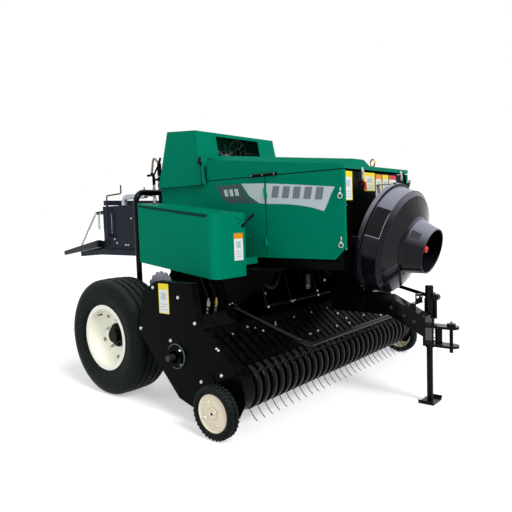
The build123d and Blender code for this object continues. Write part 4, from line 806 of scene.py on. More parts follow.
def body_side(name, side):
    """Ring latches of the door, the lid's hinge rod, and a black strip of painted shade in the gap
    under the lid's edge.
    """
    x, out = side * PANEL_X, Vector((side, 0, 0))
    mesh = bmesh.new()
    for z in LATCH_HEIGHTS:
        spot = at_axle(x, FRONT_Y + 0.02, z)
        add_tube(mesh, [spot, spot + out * 0.01], 0.0075, 14)
        add_ring(mesh, spot + out * 0.009 - UP * 0.014, (1, 0, 0), 0.0135, 0.0026)
        add_tube(mesh, [spot + out * 0.004 + UP * dz for dz in (0.012, 0.032)], 0.004, 8)
    piece(f"ring_latches_{name}", mesh, f"door_{name}", ZINC, slot="zinc")
    mesh = bmesh.new()
    rod_x = x + side * 0.01
    add_tube(mesh, at_x(rod_x, [(-1.01, COVER_ROD_Z), (-0.815, COVER_ROD_Z)]), 0.0075, 12)
    for y in COVER_ROD_BRACKETS:
        add_block(mesh, (x, x + side * 0.012), (y - 0.012, y + 0.012), (1.3765, 1.394))
    piece(f"cover_rod_{name}", mesh, "top_cover", PLASTIC)
    mesh = bmesh.new()
    spots = at_x(x + side * 0.012, [(y, COVER_ROD_Z) for y in COVER_ROD_BRACKETS])
    add_bolts(mesh, spots, out, 0.005, 0.004)
    piece(f"cover_rod_bolts_{name}", mesh, "top_cover", ZINC)
    # painted shade: a black strip set back under the lid's edge darkens the gap
    mesh = bmesh.new()
    add_block(mesh, (x - side * 0.013, x - side * 0.016), (-1.396, -0.43), (1.358, 1.39))
    piece(f"lid_gap_shade_{name}", mesh, "root", PLASTIC)


on_both_sides(body_stripes, body_side)


def front_labels():
    """Blank labels on the black front panel."""
    face = at_axle(0, FRONT_Y + 0.008, 0).y
    signs = [("a", -0.391, 0.088, 1.208, 0.16, YELLOW_LABEL, WHITE_LABEL),
             ("b", -0.165, 0.128, 1.262, 0.106, YELLOW_LABEL, CREAM_LABEL),
             ("c", -0.026, 0.076, 1.226, 0.136, ORANGE_LABEL, WHITE_LABEL),
             ("d", 0.06, 0.08, 1.232, 0.13, YELLOW_LABEL, WHITE_LABEL),
             ("e", 0.15, 0.096, 1.232, 0.13, RED, WHITE_LABEL)]
    for key, x, width, z, height, header, ground in signs:
        label(f"front_label_{key}", (x, face - 0.0002, z), (1, 0, 0), UP, width, height,
              "root", header, ground)


front_labels()


# ------------------------------------------------------------------ flywheel guard
GUARD_TILT = radians(15.6)
GUARD_AXIS = Vector((0, -cos(GUARD_TILT), -sin(GUARD_TILT)))
GUARD_RISE = Vector((0, -sin(GUARD_TILT), cos(GUARD_TILT)))
GUARD_FOOT = at_axle(0, -1.497, 0.986)
# the guard's skin, from its flange to its mouth: (along, radius)
GUARD_SKIN = [(0.0, 0.331), (0.026, 0.331), (0.03, 0.315), (0.123, 0.307), (0.145, 0.285),
              (0.189, 0.176), (0.203, 0.16), (0.307, 0.132)]
# a dark lining inside the mouth: painted shade for the inside of the snout
MOUTH_SHADE_LINING = [(0.206, 0.1508), (0.305, 0.125), (0.305, 0.124), (0.206, 0.1498)]
CAP_END = [(0.2545, 0.006), (0.2545, 0.023), (0.27, 0.0215), (0.276, 0.017), (0.278, 0.006)]
# angles are in degrees round the guard, from the left side over the top
HATCH_LEFT, HATCH_RIGHT = (8, 39), (141, 172)
HATCH_ALONGS = [0.034, 0.078, 0.119]
CONE_RIDGES = (96, 30, -123, 215)
FLANGE_BOLTS = (100, 45, 5, -60, -120, 176)


def on_guard_axis(along):
    """A place on the guard's axis, counted forward from its flange."""
    return GUARD_FOOT + GUARD_AXIS * along


def away_from_axis(turn):
    """The direction away from the guard's axis at an angle round it."""
    return Vector((1, 0, 0)) * cos(radians(turn)) + GUARD_RISE * sin(radians(turn))


def on_guard(along, turn, lift=0.0):
    """A place on the guard's skin: how far forward, and the angle round it."""
    radius = GUARD_SKIN[-1][1]
    for (a0, r0), (a1, r1) in zip(GUARD_SKIN, GUARD_SKIN[1:]):
        if a0 <= along <= a1:
            radius = r0 + (r1 - r0) * (along - a0) / (a1 - a0)
            break
    return on_guard_axis(along) + away_from_axis(turn) * (radius + lift)


def between(start, end, steps):
    """Evenly spaced values from start to end, both included."""
    return [start + (end - start) * k / steps for k in range(steps + 1)]


def guard_patch(name, alongs, start, end, lift, material, steps=14):
    """A thin plate that follows the guard's skin between two angles."""
    mesh = bmesh.new()
    turns = between(start, end, steps)
    rows = [[on_guard(along, turn, lift) for turn in turns] for along in alongs]
    rows += [[on_guard(along, turn, 0.0002) for turn in turns] for along in reversed(alongs)]
    made = [[mesh.verts.new(point) for point in row] for row in rows]
    for low, high in zip(made, made[1:] + made[:1]):
        for k in range(steps):
            mesh.faces.new((low[k], low[k + 1], high[k + 1], high[k]))
    for k in (0, steps):
        mesh.faces.new([row[k] for row in made])
    piece(name, mesh, "root", material, sharp=30, slot="guard_plastic")


def guard_details():
    """Grooves and mouth lining in painted shade, lip, hatches, ridges, bolts and top clip of the
    guard.
    """
    # painted shade: dark rings along the guard's creases stand in for the shade in its grooves
    mesh = bmesh.new()
    for along, radius, wire in ((0.0285, 0.3215, 0.0016), (0.1225, 0.308, 0.0013),
                                (0.1895, 0.1762, 0.0014)):
        add_ring(mesh, on_guard_axis(along), GUARD_AXIS, radius, wire, 110, 6)
    piece("guard_groove_shade", mesh, "root", GUARD_DARK_AND_SHADE)
    mesh = bmesh.new()
    add_ring(mesh, on_guard_axis(0.3062), GUARD_AXIS, 0.1305, 0.0026, 90, 8)
    piece("mouth_lip", mesh, "root", GUARD)
    # painted shade: the dark lining keeps the inside of the mouth dark
    turned("mouth_shade_lining", MOUTH_SHADE_LINING, GUARD_FOOT, GUARD_AXIS, 72, "root", GUARD_DARK_AND_SHADE)
    turned("shaft_cap_end", CAP_END, GUARD_FOOT, GUARD_AXIS, 32, "flywheel", RED,
           slot="black_plastic")
    # a pale line along the lower and right edges of the hatch, in the silver film's colour
    mesh = bmesh.new()
    add_tube(mesh, [on_guard(along, 173, 0.003) for along in HATCH_ALONGS], 0.0013, 6)
    edge = [on_guard(0.1195, turn, 0.003) for turn in range(146, 174, 3)]
    add_tube(mesh, edge, 0.001, 6)
    piece("hatch_edge", mesh, "root", SILVER_PRINT, slot="guard_plastic")
    guard_patch("guard_hatch", HATCH_ALONGS, *HATCH_RIGHT, 0.0024, GUARD_DARK_AND_SHADE)
    guard_patch("guard_hatch_left", HATCH_ALONGS, *reversed(HATCH_LEFT), 0.0024, GUARD_DARK_AND_SHADE)
    guard_patch("snout_plate", [0.212, 0.266], 138, 153, 0.0012, PATCH_GREY, 5)
    mesh = bmesh.new()
    for turn in HATCH_RIGHT + HATCH_LEFT[::-1]:
        add_tube(mesh, [on_guard(along, turn, 0.001) for along in (0.033, 0.12)], 0.0015, 6)
    for hatch in (HATCH_RIGHT, HATCH_LEFT):
        for along in (0.033, 0.1195):
            edge = [on_guard(along, turn, 0.001) for turn in between(*hatch, 10)]
            add_tube(mesh, edge, 0.0015, 6)
    for turn in CONE_RIDGES:
        ridge = [on_guard(along, turn, 0.0002) for along in (0.1455, 0.16, 0.175, 0.1885)]
        add_tube(mesh, ridge, 0.0013, 6)
    piece("guard_ridges", mesh, "root", GUARD)
    mesh = bmesh.new()
    for turn in FLANGE_BOLTS:
        add_bolt(mesh, on_guard(0.013, turn), away_from_axis(turn), 0.0075, 0.005)
    piece("guard_bolts", mesh, "root", DARK_STEEL)
    mesh = bmesh.new()
    spot, away = on_guard(0.012, 68), away_from_axis(68)
    add_tube(mesh, [spot - away * 0.002, spot + away * 0.02, spot + away * 0.03],
             [0.01, 0.01, 0.006], 14)
    add_ring(mesh, spot + away * 0.036, (0, 1, 0), 0.01, 0.0028)
    piece("guard_top_clip", mesh, "root", PLASTIC)


guard_details()


# ------------------------------------------------------------------ front panel controls
EYE = (-0.018, FRONT_Y + 0.03)


def toggle(mesh, x, top, low):
    """A toggle latch that hangs from the lid's skirt."""
    y = FRONT_Y - 0.004
    add_block(mesh, (x - 0.011, x + 0.011), (y - 0.004, y + 0.002), (top - 0.024, top))
    add_tube(mesh, route((x - 0.009, y - 0.006, top - 0.01), (x - 0.009, y - 0.008, low + 0.008),
                         (x, y - 0.008, low), (x + 0.009, y - 0.008, low + 0.008),
                         (x + 0.009, y - 0.006, top - 0.01)), 0.0022, 8)
    add_tube(mesh, route((x, y - 0.004, top - 0.006), (x, y - 0.012, top - 0.03),
                         (x, y - 0.01, low + 0.014)), 0.004, 8)


def front_controls():
    """The lid's toggles and lifting eye, and the release handle and bolts of the panel."""
    mesh = bmesh.new()
    toggle(mesh, -0.213, 1.393, 1.316)
    toggle(mesh, 0.287, 1.393, 1.33)
    piece("lid_toggles", mesh, "top_cover", ZINC)
    mesh = bmesh.new()
    add_ring(mesh, at_axle(*EYE, 1.43), (0.89, -0.45, 0), 0.022, 0.0046)
    add_tube(mesh, route((*EYE, 1.395), (*EYE, 1.4095)), 0.006, 12)
    piece("lid_lifting_eye", mesh, "top_cover", BRASS)
    mesh = bmesh.new()
    add_tube(mesh, route((-0.19, FRONT_Y + 0.006, 1.316), (-0.19, FRONT_Y - 0.012, 1.308),
                         (-0.187, FRONT_Y - 0.014, 1.262)), [0.005, 0.007, 0.006], 12)
    piece("release_handle", mesh, "root", RED, slot="steel")
    mesh = bmesh.new()
    for x in (-0.3792, 0.3792):
        spots = route(*[(x, FRONT_Y + 0.008, z) for z in (1.18, 1.02, 0.94)])
        add_bolts(mesh, spots, FORWARD, 0.0065, 0.005)
    piece("front_panel_bolts", mesh, "root", ZINC)


front_controls()


# ------------------------------------------------------------------ twine boxes
BOX_OUTER, BOX_FRONT, BOX_REAR = 0.826, -0.88, -0.212
LID_FRONT_Z, LID_REAR_Z = 1.157, 1.24
BOX_HOLES = ((0.625, 1.124), (0.616, 1.1), (0.592, 1.112), (0.565, 1.116))


def box_details(name, side):
    """Shadow line under the lid, blank label, lever, and black discs of painted shade for the holes
    of a twine box.
    """
    def under_lid(y, drop):
        share = (y - BOX_FRONT) / (BOX_REAR - BOX_FRONT)
        return y, LID_FRONT_Z + (LID_REAR_Z - LID_FRONT_Z) * share - drop

    mesh = bmesh.new()
    shadow = [under_lid(BOX_FRONT + 0.045, 0.01), under_lid(BOX_REAR - 0.006, 0.01),
              under_lid(BOX_REAR - 0.006, 0.022), under_lid(BOX_FRONT + 0.06, 0.028)]
    add_slab(mesh, at_x(side * (BOX_OUTER + 0.0003), shadow), (side * 0.0008, 0, 0))
    piece(f"lid_shadow_{name}", mesh, "root", SHADE_GREEN)
    low_x = min(side * 0.664, side * 0.585)
    label(f"box_label_{name}", at_axle(low_x, BOX_FRONT - 0.0002, 0.88), (1, 0, 0), UP,
          0.079, 0.16, "root", ORANGE_LABEL)
    mesh = bmesh.new()
    base, tip = route((side * 0.586, BOX_FRONT - 0.004, 1.083),
                      (side * 0.497, BOX_FRONT - 0.012, 1.146))
    grip = base.lerp(tip, 0.7)
    add_tube(mesh, [base, base.lerp(tip, 0.35), base.lerp(tip, 0.65), tip],
             [0.0075, 0.006, 0.0085, 0.0095], 14)
    add_tube(mesh, [base + Vector((0, 0.005, 0)), base - Vector((0, 0.01, 0))], 0.0085, 14)
    add_tube(mesh, [grip + Vector((0, 0.014, 0)), grip], 0.006, 10)
    piece(f"box_lever_{name}", mesh, "root", PLASTIC)
    # painted shade: black discs stand for the dark inside of the holes
    mesh = bmesh.new()
    for x, z in BOX_HOLES:
        add_tube(mesh, route((side * x, BOX_FRONT + 0.001, z), (side * x, BOX_FRONT - 0.0012, z)),
                 0.0048, 14)
    piece(f"box_hole_shades_{name}", mesh, "root", PLASTIC)


on_both_sides(box_details)


# ------------------------------------------------------------------ knotter hood
WINDOW_Y, WINDOW_Z = -0.342, 1.6
WIRE_INNER, WIRE_OUTER = 0.03, 0.088


def hood_details():
    """Rubber straps, a black strip of painted shade for the slot in the hood's front, and the wires
    before the fan.
    """
    for name, side in SIDES.items():
        mesh = bmesh.new()
        add_tube(mesh, smooth_line(route((side * 0.43, -0.388, 1.536),
                                         (side * 0.441, -0.39, 1.52),
                                         (side * 0.44, -0.396, 1.5),
                                         (side * 0.434, -0.398, 1.486)), 3),
                 [0.009] * 4 + [0.013] * 3 + [0.009] * 3, 12)
        add_tube(mesh, route((side * 0.437, -0.397, 1.49), (side * 0.44, -0.407, 1.366)),
                 0.0026, 8)
        add_tube(mesh, route((side * 0.44, -0.407, 1.376), (side * 0.443, -0.412, 1.362),
                             (side * 0.434, -0.412, 1.359)), 0.0045, 8)
        piece(f"hood_strap_{name}", mesh, "knotter_hood", PLASTIC)
    # painted shade: a thin black plate stands for the dark inside of the slot
    mesh = bmesh.new()
    across, up = Vector((1, 0, 0)), Vector((0, 0.07, 0.388)).normalized()
    corner = at_axle(-0.35, -0.3752, 1.532)
    slot = [corner + across * a + up * b
            for a, b in ((0, 0), (0.062, 0), (0.062, 0.006), (0, 0.006))]
    add_slab(mesh, slot, across.cross(up) * 0.001)
    piece("hood_slot_shade", mesh, "knotter_hood", PLASTIC)
    mesh = bmesh.new()
    hub = at_axle(0, WINDOW_Y, WINDOW_Z)
    for k in range(9):
        a = radians(40 * k + 12)
        away = Vector((cos(a), 0, sin(a)))
        add_tube(mesh, [hub + away * WIRE_INNER, hub + away * WIRE_OUTER], 0.0016, 6)
    for radius in (WIRE_INNER, WIRE_OUTER):
        add_ring(mesh, hub, (0, 1, 0), radius, 0.0018, 40, 6)
    for x0, x1 in ((-0.226, -0.086), (0.086, 0.226)):
        add_tube(mesh, route((x0, WINDOW_Y, WINDOW_Z), (x1, WINDOW_Y, WINDOW_Z)), 0.0022, 6)
    piece("window_wires", mesh, "knotter_hood", DARK_STEEL)


hood_details()


# ------------------------------------------------------------------ rear of the bale chamber
WALL_X = 0.2352
STRIP_SKIN = 0.0035
STRIP_ROWS, STRIP_PITCH = 13, 0.0155
CHAIN_X = 0.248
CHAIN_LINK = (0.03, 0.003)         # length and wire of a link
WALL_BOLTS = ((0.878, 0.98), (0.846, 0.946), (0.729, 0.931), (0.695, 0.931), (0.988, 1.204),
              (0.64, 1.15))


def rear_details(name, side):
    """The ribbed strip on a chamber wall, its bolts, and the chains of the chute."""
    x, out = side * WALL_X, Vector((side, 0, 0))
    skin_x = x + side * STRIP_SKIN
    mesh = bmesh.new()
    strip = [(0.87, 1.000), (0.956, 1.000), (0.956, 1.216), (0.87, 1.212)]
    add_slab(mesh, at_x(x, strip), out * STRIP_SKIN)
    for k in range(STRIP_ROWS):
        z = 1.012 + STRIP_PITCH * k
        for y in (0.882, 0.927):
            add_tube(mesh, at_x(skin_x, [(y, z), (y + 0.022, z)]), 0.0022, 6)
    piece(f"ribbed_strip_{name}", mesh, "root", SLATE)
    mesh = bmesh.new()
    for k in range(STRIP_ROWS):
        z = 1.018 + STRIP_PITCH * k
        for y in (0.906, 0.951):
            add_tube(mesh, at_x(skin_x, [(y - 0.006, z), (y + 0.006, z)]), 0.0036, 6)
    add_bolts(mesh, at_x(x, WALL_BOLTS), out, 0.0075, 0.005)
    add_bolts(mesh, at_x(side * 0.2432, [(1.06, 1.203), (1.118, 1.203)]), out, 0.0065, 0.005)
    piece(f"wall_bolts_{name}", mesh, "root", ZINC)
    mesh = bmesh.new()
    top, low = at_axle(side * CHAIN_X, 1.13, 1.196), at_axle(side * 0.188, 1.469, 0.914)
    add_chain(mesh, top, low, *CHAIN_LINK)
    chain = piece(f"chute_chain_{name}", mesh, None, CHAIN_STEEL)
    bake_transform(chain)
    mesh = bmesh.new()
    add_chain(mesh, *at_x(side * CHAIN_X, [(1.078, 1.192), (1.08, 1.065)]), *CHAIN_LINK)
    piece(f"spare_chain_{name}", mesh, "root", CHAIN_STEEL)


on_both_sides(rear_details)


def trip_details():
    """The curved bale-length arm with its bracket and its link."""
    x = -0.262
    mesh = bmesh.new()
    line = smooth_line(at_x(x, [(0.236, 1.56), (0.262, 1.588), (0.288, 1.6), (0.303, 1.575),
                                (0.311, 1.533), (0.322, 1.486)]), 6)
    for step in zip(line, line[1:]):
        add_tube(mesh, step, 0.0085, 8)
    piece("length_arm", mesh, "root", TAN)
    mesh = bmesh.new()
    for places, radius, sides in (
            (((0.37, 1.477), (0.316, 1.477)), [0.01, 0.007], 12),
            (((0.322, 1.492), (0.3, 1.461), (0.3, 1.402)), 0.012, 10),
            (((0.238, 1.44), (0.3, 1.44)), 0.009, 10),
            (((0.238, 1.545), (0.262, 1.52), (0.3, 1.47)), 0.007, 8)):
        add_tube(mesh, at_x(x, places), radius, sides)
    piece("length_bracket", mesh, "root", BLACK)
    mesh = bmesh.new()
    add_chain(mesh, *at_x(x, [(0.302, 1.404), (0.302, 1.3)]), 0.034, 0.0048)
    add_ring(mesh, at_axle(x, 0.3, 1.282), (1, 0, 0), 0.016, 0.0052)
    spots = at_x(x - 0.008, [(0.23, 1.46), (0.23, 1.415), (0.23, 1.37)])
    add_bolts(mesh, spots, (-1, 0, 0), 0.007, 0.005)
    piece("length_link", mesh, "root", CHAIN_STEEL)


trip_details()


# ------------------------------------------------------------------ pickup tines and bands
DRUM = at_axle(0, -1.09, 0.237)
TINE_ROW_HALF = PICKUP_PLATE_X - 0.004 - 0.092
TINES = 29                   # on each bar, with a stripper band between two tines
TINE_PITCH = 2 * TINE_ROW_HALF / (TINES - 1)
BAND_SLOPE = Vector((0, -0.60907, 0.79312))      # normal of the bands' upper end
BAND_EDGES = (-0.021, 0.019)                   # inner side of each flange, from the middle
BAND_FLANGE = 0.002
FLANGE_INNER, FLANGE_OUTER = 0.105, 0.1265      # radii on the drum
RIB_RADIUS, RIB_HALF, RIB_RISE = 0.1275, 0.0165, 0.0065
TINE_BAR_CIRCLE, TINE_BAR_R = 0.088, 0.0104
TINE_WIRE, TINE_TIP = 0.0024, 0.0016


def tines():
    """Four bars of thin spring wires that bow to their tips."""
    mesh, bars = bmesh.new(), bmesh.new()
    reach = Vector((TINE_ROW_HALF + 0.001, 0, 0))
    for k in range(4):
        angle = 90 * k + 53
        away, ahead = spoke(angle), spoke(angle + 90)
        bar = DRUM + away * TINE_BAR_CIRCLE
        add_tube(bars, [bar - reach, bar + reach], TINE_BAR_R, 12)
        for i in range(TINES):
            root = bar + Vector((i * TINE_PITCH - TINE_ROW_HALF, 0, 0))
            wire = smooth_line([root, root + away * 0.05 + ahead * 0.004,
                                root + away * 0.09 + ahead * 0.004,
                                root + away * 0.12 - ahead * 0.004], 4)
            add_tube(mesh, wire, [TINE_WIRE] * (len(wire) - 1) + [TINE_TIP], 6)
    made = piece("spring_tines", mesh, "reel", TINE_STEEL)
    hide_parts("tine_bars")
    piece("tine_tubes", bars, "reel", BLACK, slot="steel")


tines()


def band_ribs():
    """A rounded rib on each stripper band, its two inner flanges, and bolts at its top."""
    ribs, flanges, bolts = bmesh.new(), bmesh.new(), bmesh.new()
    nose = [spoke(268 - 133 * k / 18) for k in range(19)]
    for i in range(TINES - 1):
        x = (i + 0.5) * TINE_PITCH - TINE_ROW_HALF
        top = at_axle(x, -0.93, 0.52) + BAND_SLOPE * 0.0005
        line = [DRUM + Vector((x, 0, 0)) + out * RIB_RADIUS for out in nose]
        line.append(line[-1].lerp(top, 0.12))
        rings = []
        for j, point in enumerate(line):
            before, after = line[max(j - 1, 0)], line[min(j + 1, len(line) - 1)]
            out = Vector((1, 0, 0)).cross((after - before).normalized())
            if out.dot(point - DRUM) < 0:
                out = -out
            rings.append([point + Vector((RIB_HALF * cos(t), 0, 0)) + out * RIB_RISE * sin(t)
                          for t in [pi * m / 8 for m in range(9)]])
        add_rings(ribs, rings)
        for edge in BAND_EDGES:
            near, far = Vector((x + edge, 0, 0)), Vector((x + edge + BAND_FLANGE, 0, 0))
            rings = []
            for out in nose:
                inner, outer = DRUM + out * FLANGE_INNER, DRUM + out * FLANGE_OUTER
                rings.append([inner + near, outer + near, outer + far, inner + far])
            add_rings(flanges, rings)
        if i % 3 == 1:
            spot = at_axle(x, -0.975, 0.4855) + BAND_SLOPE * 0.0006
            add_bolt(bolts, spot, BAND_SLOPE, 0.0055, 0.004)
    piece("band_ribs", ribs, "pickup", BLACK_GLOSS, sharp=50)
    piece("band_flanges", flanges, "pickup", BAND_BLACK)
    piece("band_bolts", bolts, "pickup", ZINC)


band_ribs()


# ------------------------------------------------------------------ under the body
BODY_FACE_Y = -0.94
BODY_UNDER_Z = 0.806
# rods with a bolt at the front end: (x, z, size)
CROSS_RODS = ((-0.47, 0.668, 0.012), (-0.022, 0.66, 0.013), (0.096, 0.612, 0.01),
              (0.189, 0.676, 0.01), (0.479, 0.79, 0.009), (-0.53, 0.78, 0.008))
UNDER_HOSES = (((-0.54, -0.9, 0.8), (-0.45, -0.985, 0.7), (-0.3, -0.94, 0.806)),
               ((0.12, -0.92, 0.806), (0.24, -0.99, 0.705), (0.4, -0.93, 0.806)),
               ((0.33, -1.12, 0.815), (0.42, -1.15, 0.72), (0.5, -1.09, 0.815)))
FRONT_RODS = ((0.36, -1.18, 0.8), (0.372, -1.18, 0.77), (0.35, -1.2, 0.752),
              (0.33, -1.3, 0.812))
# rings of a coupling, from below: (low, high, radius)
COUPLING = ((0.56, 0.574, 0.009), (0.574, 0.592, 0.0115), (0.592, 0.612, 0.006))
SPRING_R, SPRING_RISE = 0.016, 0.0011            # rise on each tenth of a turn
HOSE_R, LINE_R = 0.0085, 0.0075
DECK_BOLTS = ((0.199, -1.037, 0.445), (-0.145, -1.101, 0.396), (-0.399, -1.101, 0.396),
              (0.235, -1.082, 0.41), (0.066, -1.11, 0.389), (0.218, -1.116, 0.384),
              (0.449, -1.097, 0.398), (0.642, -1.134, 0.37), (-0.579, -1.009, 0.467),
              (-0.667, -0.965, 0.5), (-0.441, -0.994, 0.478), (-0.237, -1.104, 0.394))


def under_rods():
    """Rods, a spring, hoses and bolts in the dark space over the pickup."""
    bright, dark, hoses = bmesh.new(), bmesh.new(), bmesh.new()
    y = BODY_FACE_Y
    for x, z, size in CROSS_RODS:
        add_bolt(bright, at_axle(x, y, z), FORWARD, size * 0.7, size * 0.6)
        add_tube(dark, route((x, y, z), (x, y + 0.1, z + 0.02)), size * 0.9, 10)
        add_tube(dark, route((x, y + 0.05, z), (x, y + 0.05, BODY_UNDER_Z)), size * 0.5, 8)
    coil = []
    for k in range(91):
        a = radians(36 * k)
        coil.append(at_axle(-0.02 + SPRING_R * cos(a), -0.945 + SPRING_R * sin(a),
                            0.64 + SPRING_RISE * k))
    add_tube(bright, coil, 0.0026, 6)
    add_tube(dark, route((-0.5, -0.96, 0.59), (0.42, -0.96, 0.59)), 0.012, 12)
    for x in (-0.48, -0.235, 0.06, 0.3):
        hanger = at_x(x, [(-0.96, 0.59), (-0.93, 0.7), (-0.9, BODY_UNDER_Z)])
        add_tube(dark, hanger, 0.009, 10)
        add_bolt(bright, at_axle(x, -0.973, 0.59), FORWARD, 0.0065, 0.005)
    add_tube(bright, route((-0.262, -0.975, 0.596), (-0.205, -0.975, 0.596)), 0.0045, 8)
    for places in UNDER_HOSES:
        add_tube(hoses, smooth_line(route(*places), 8), HOSE_R, 10)
    for x, y, z in FRONT_RODS:
        add_bolt(bright, at_axle(x, y, z), FORWARD, 0.008, 0.007)
        add_tube(dark, route((x, y, z), (x, y + 0.07, z + 0.01)), 0.01, 10)
    piece("under_bolts", bright, "root", ZINC)
    piece("under_rods", dark, "root", BLACK)
    piece("under_hoses", hoses, "root", HOSE)


def couplings():
    """Two hose couplings that hang with their chains beside the pickup, and deck bolts."""
    white, yellow, lines = bmesh.new(), bmesh.new(), bmesh.new()
    for mesh, x, y, rise in ((white, -0.612, -0.6, 0.022), (yellow, -0.605, -0.662, 0.03)):
        for low, high, radius in COUPLING:
            add_tube(mesh, route((x, y, low + rise), (x, y, high + rise)), radius, 12)
        below = route((x, y, 0.562 + rise), (x - 0.005, y + 0.012, 0.52),
                      (x + 0.005, y + 0.03, 0.47), (x + 0.012, y + 0.05, 0.446))
        above = route((x, y, 0.61 + rise), (x - 0.003, y + 0.02, 0.69),
                      (x + 0.01, y + 0.06, 0.76), (-0.52, y + 0.08, 0.83))
        for places in (below, above):
            add_tube(lines, smooth_line(places, 6), LINE_R, 10)
    links = bmesh.new()
    for x, y, low in ((-0.626, -0.604, 0.52), (-0.619, -0.668, 0.5)):
        add_chain(links, at_axle(x, y, 0.59), at_axle(x, y + 0.004, low), 0.026, 0.0021)
    spots = at_x(-0.5606, [(-0.735, 0.596), (-0.756, 0.604)])
    add_bolts(links, spots, (-1, 0, 0), 0.0055, 0.004)
    piece("coupling_links", links, "root", ZINC)
    piece("white_coupling", white, "root", WHITE_LABEL)
    piece("yellow_coupling", yellow, "root", YELLOW_ZINC)
    piece("coupling_hoses", lines, "root", HOSE)
    mesh = bmesh.new()
    add_bolts(mesh, route(*DECK_BOLTS), (0, -0.609, 0.793), 0.0075, 0.006)
    piece("deck_bolts", mesh, "pickup", ZINC)


under_rods()
couplings()


def shields(name, side):
    """A black sheet on the deck's rear corner, and one beside the feeder."""
    x0, x1 = side * 0.992, side * 0.576
    mesh = bmesh.new()
    rings = []
    for y, z in ((-0.86, 0.519), (-0.8, 0.56), (-0.786, 0.575)):
        rings.append(route((x0, y, z), (x1, y, z), (x1, y + 0.003, z - 0.003),
                           (x0, y + 0.003, z - 0.003)))
    add_rings(mesh, rings)
    add_tube(mesh, route((x0, -0.786, 0.575), (x1, -0.786, 0.575)), 0.0045, 8)
    piece(f"end_shield_{name}", mesh, "pickup", BLACK)
    mesh = bmesh.new()
    outline = [(-0.58, 0.545), (-0.44, 0.43), (-0.33, 0.43), (-0.24, 0.52),
               (-0.24, 0.818), (-0.52, 0.818), (-0.58, 0.64)]
    add_slab(mesh, at_x(side * 0.598, outline), (side * 0.003, 0, 0))
    for y, z in ((-0.5, 0.79), (-0.31, 0.79), (-0.42, 0.46)):
        add_bolt(mesh, at_axle(side * 0.601, y, z), (side, 0, 0), 0.007, 0.005)
        add_tube(mesh, route((side * 0.55, y, z), (side * 0.598, y, z)), 0.01, 10)
    piece(f"drive_shield_{name}", mesh, "root", BLACK)


on_both_sides(shields)


# ------------------------------------------------------------------ drawbar and jack
TONGUE_X = 0.0476
TONGUE_BOLTS = ((-1, -1.7, 0.5), (-1, -1.64, 0.53), (-1, -1.56, 0.57),
                (1, -1.7, 0.5), (1, -1.56, 0.57))      # (side, y, z)
JACK = (0.079, -1.741)
COLLAR = [(0.0, 0.0242), (0.0, 0.0285), (0.144, 0.0285), (0.144, 0.0242)]


def drawbar_details():
    """Bolts and ring of the tongue, bolts of the jack's bracket, and the guard's foot."""
    mesh = bmesh.new()
    for side, y, z in TONGUE_BOLTS:
        add_bolt(mesh, at_axle(side * TONGUE_X, y, z), (side, 0, 0), 0.0085, 0.006)
    add_ring(mesh, at_axle(0, -1.899, 0.502), (0, 1, 0), 0.011, 0.0024, 20, 6)
    piece("drawbar_bolts", mesh, "root", DARK_STEEL)
    mesh = bmesh.new()
    add_bolt(mesh, at_axle(0.022, -1.694, 0.632), (-1, 0, 0), 0.008, 0.006)
    add_bolt(mesh, at_axle(0.046, -1.707, 0.632), FORWARD, 0.007, 0.006)
    piece("jack_bracket_bolts", mesh, "root", ZINC)
    mesh = bmesh.new()
    add_block(mesh, (-0.03, 0.03), (-1.522, -1.39), (0.6397, 0.6545))
    piece("guard_foot", mesh, "root", BLACK)


def jack_details():
    """Turned-up ends of the jack's foot, and the collar, boss, tube and bracket."""
    x, y = JACK
    mesh = bmesh.new()
    for end in (-1, 1):
        rear, front = route((x + end * 0.0615, y - 0.045, 0.004),
                            (x + end * 0.0615, y + 0.045, 0.004))
        lean = Vector((end * 0.55, 0, 0.83)).normalized() * 0.024
        add_slab(mesh, [rear, front, front + lean, rear + lean], (-end * 0.0055, 0, 0))
    piece("jack_foot_ends", mesh, "jack_leg", BLACK)
    mesh = bmesh.new()
    for z in (0.38, 0.43):
        add_ring(mesh, at_axle(x, y - 0.0285, z), (1, 0, 0), 0.0085, 0.0024, 18, 6)
    add_tube(mesh, route((x - 0.018, y - 0.041, 0.63), (x + 0.018, y - 0.041, 0.63)), 0.02, 24)
    add_lathe(mesh, COLLAR, at_axle(x, y, 0.478), UP, 28)
    add_tube(mesh, at_x(x, [(y - 0.036, 0.505), (y - 0.036, 0.614)]), 0.0105, 16)
    add_block(mesh, (-0.045, 0.06), (y + 0.03, y + 0.068), (0.598, 0.604))
    add_block(mesh, (-0.045, -0.039), (y + 0.03, y + 0.068), (0.562, 0.598))
    add_block(mesh, (0.022, 0.06), (y + 0.034, y + 0.062), (0.604, 0.65))
    add_tube(mesh, at_x(x, [(y, 0.694), (y, 0.699)]), 0.02, 20)
    piece("jack_details", mesh, "root", BLACK_GLOSS)


drawbar_details()
jack_details()


# ------------------------------------------------------------------ camera, light and floor
CAMERA_PLACE = (-2.9789, AXLE_Y - 2.9949, 1.1373)
CAMERA_LENS = 37.94
AZIMUTH, ELEVATION, ROLL = radians(-49.885), radians(4.248), radians(-1.864)
# suns: (name, towards, strength, spread in degrees)
SUNS = (("key sun", (-0.2, -0.76, 0.62), 2.2, 22), ("soft fill", (-0.85, 0.25, 0.45), 0.42, 60))
WHITE = (1.0, 1.0, 1.0, 1)
SKY_GREY = (0.4, 0.41, 0.43, 1)
FLOOR_GREY = (0.86, 0.86, 0.86, 1)
FLOOR_GLOW = 0.45
FLOOR_REACH = 60.0


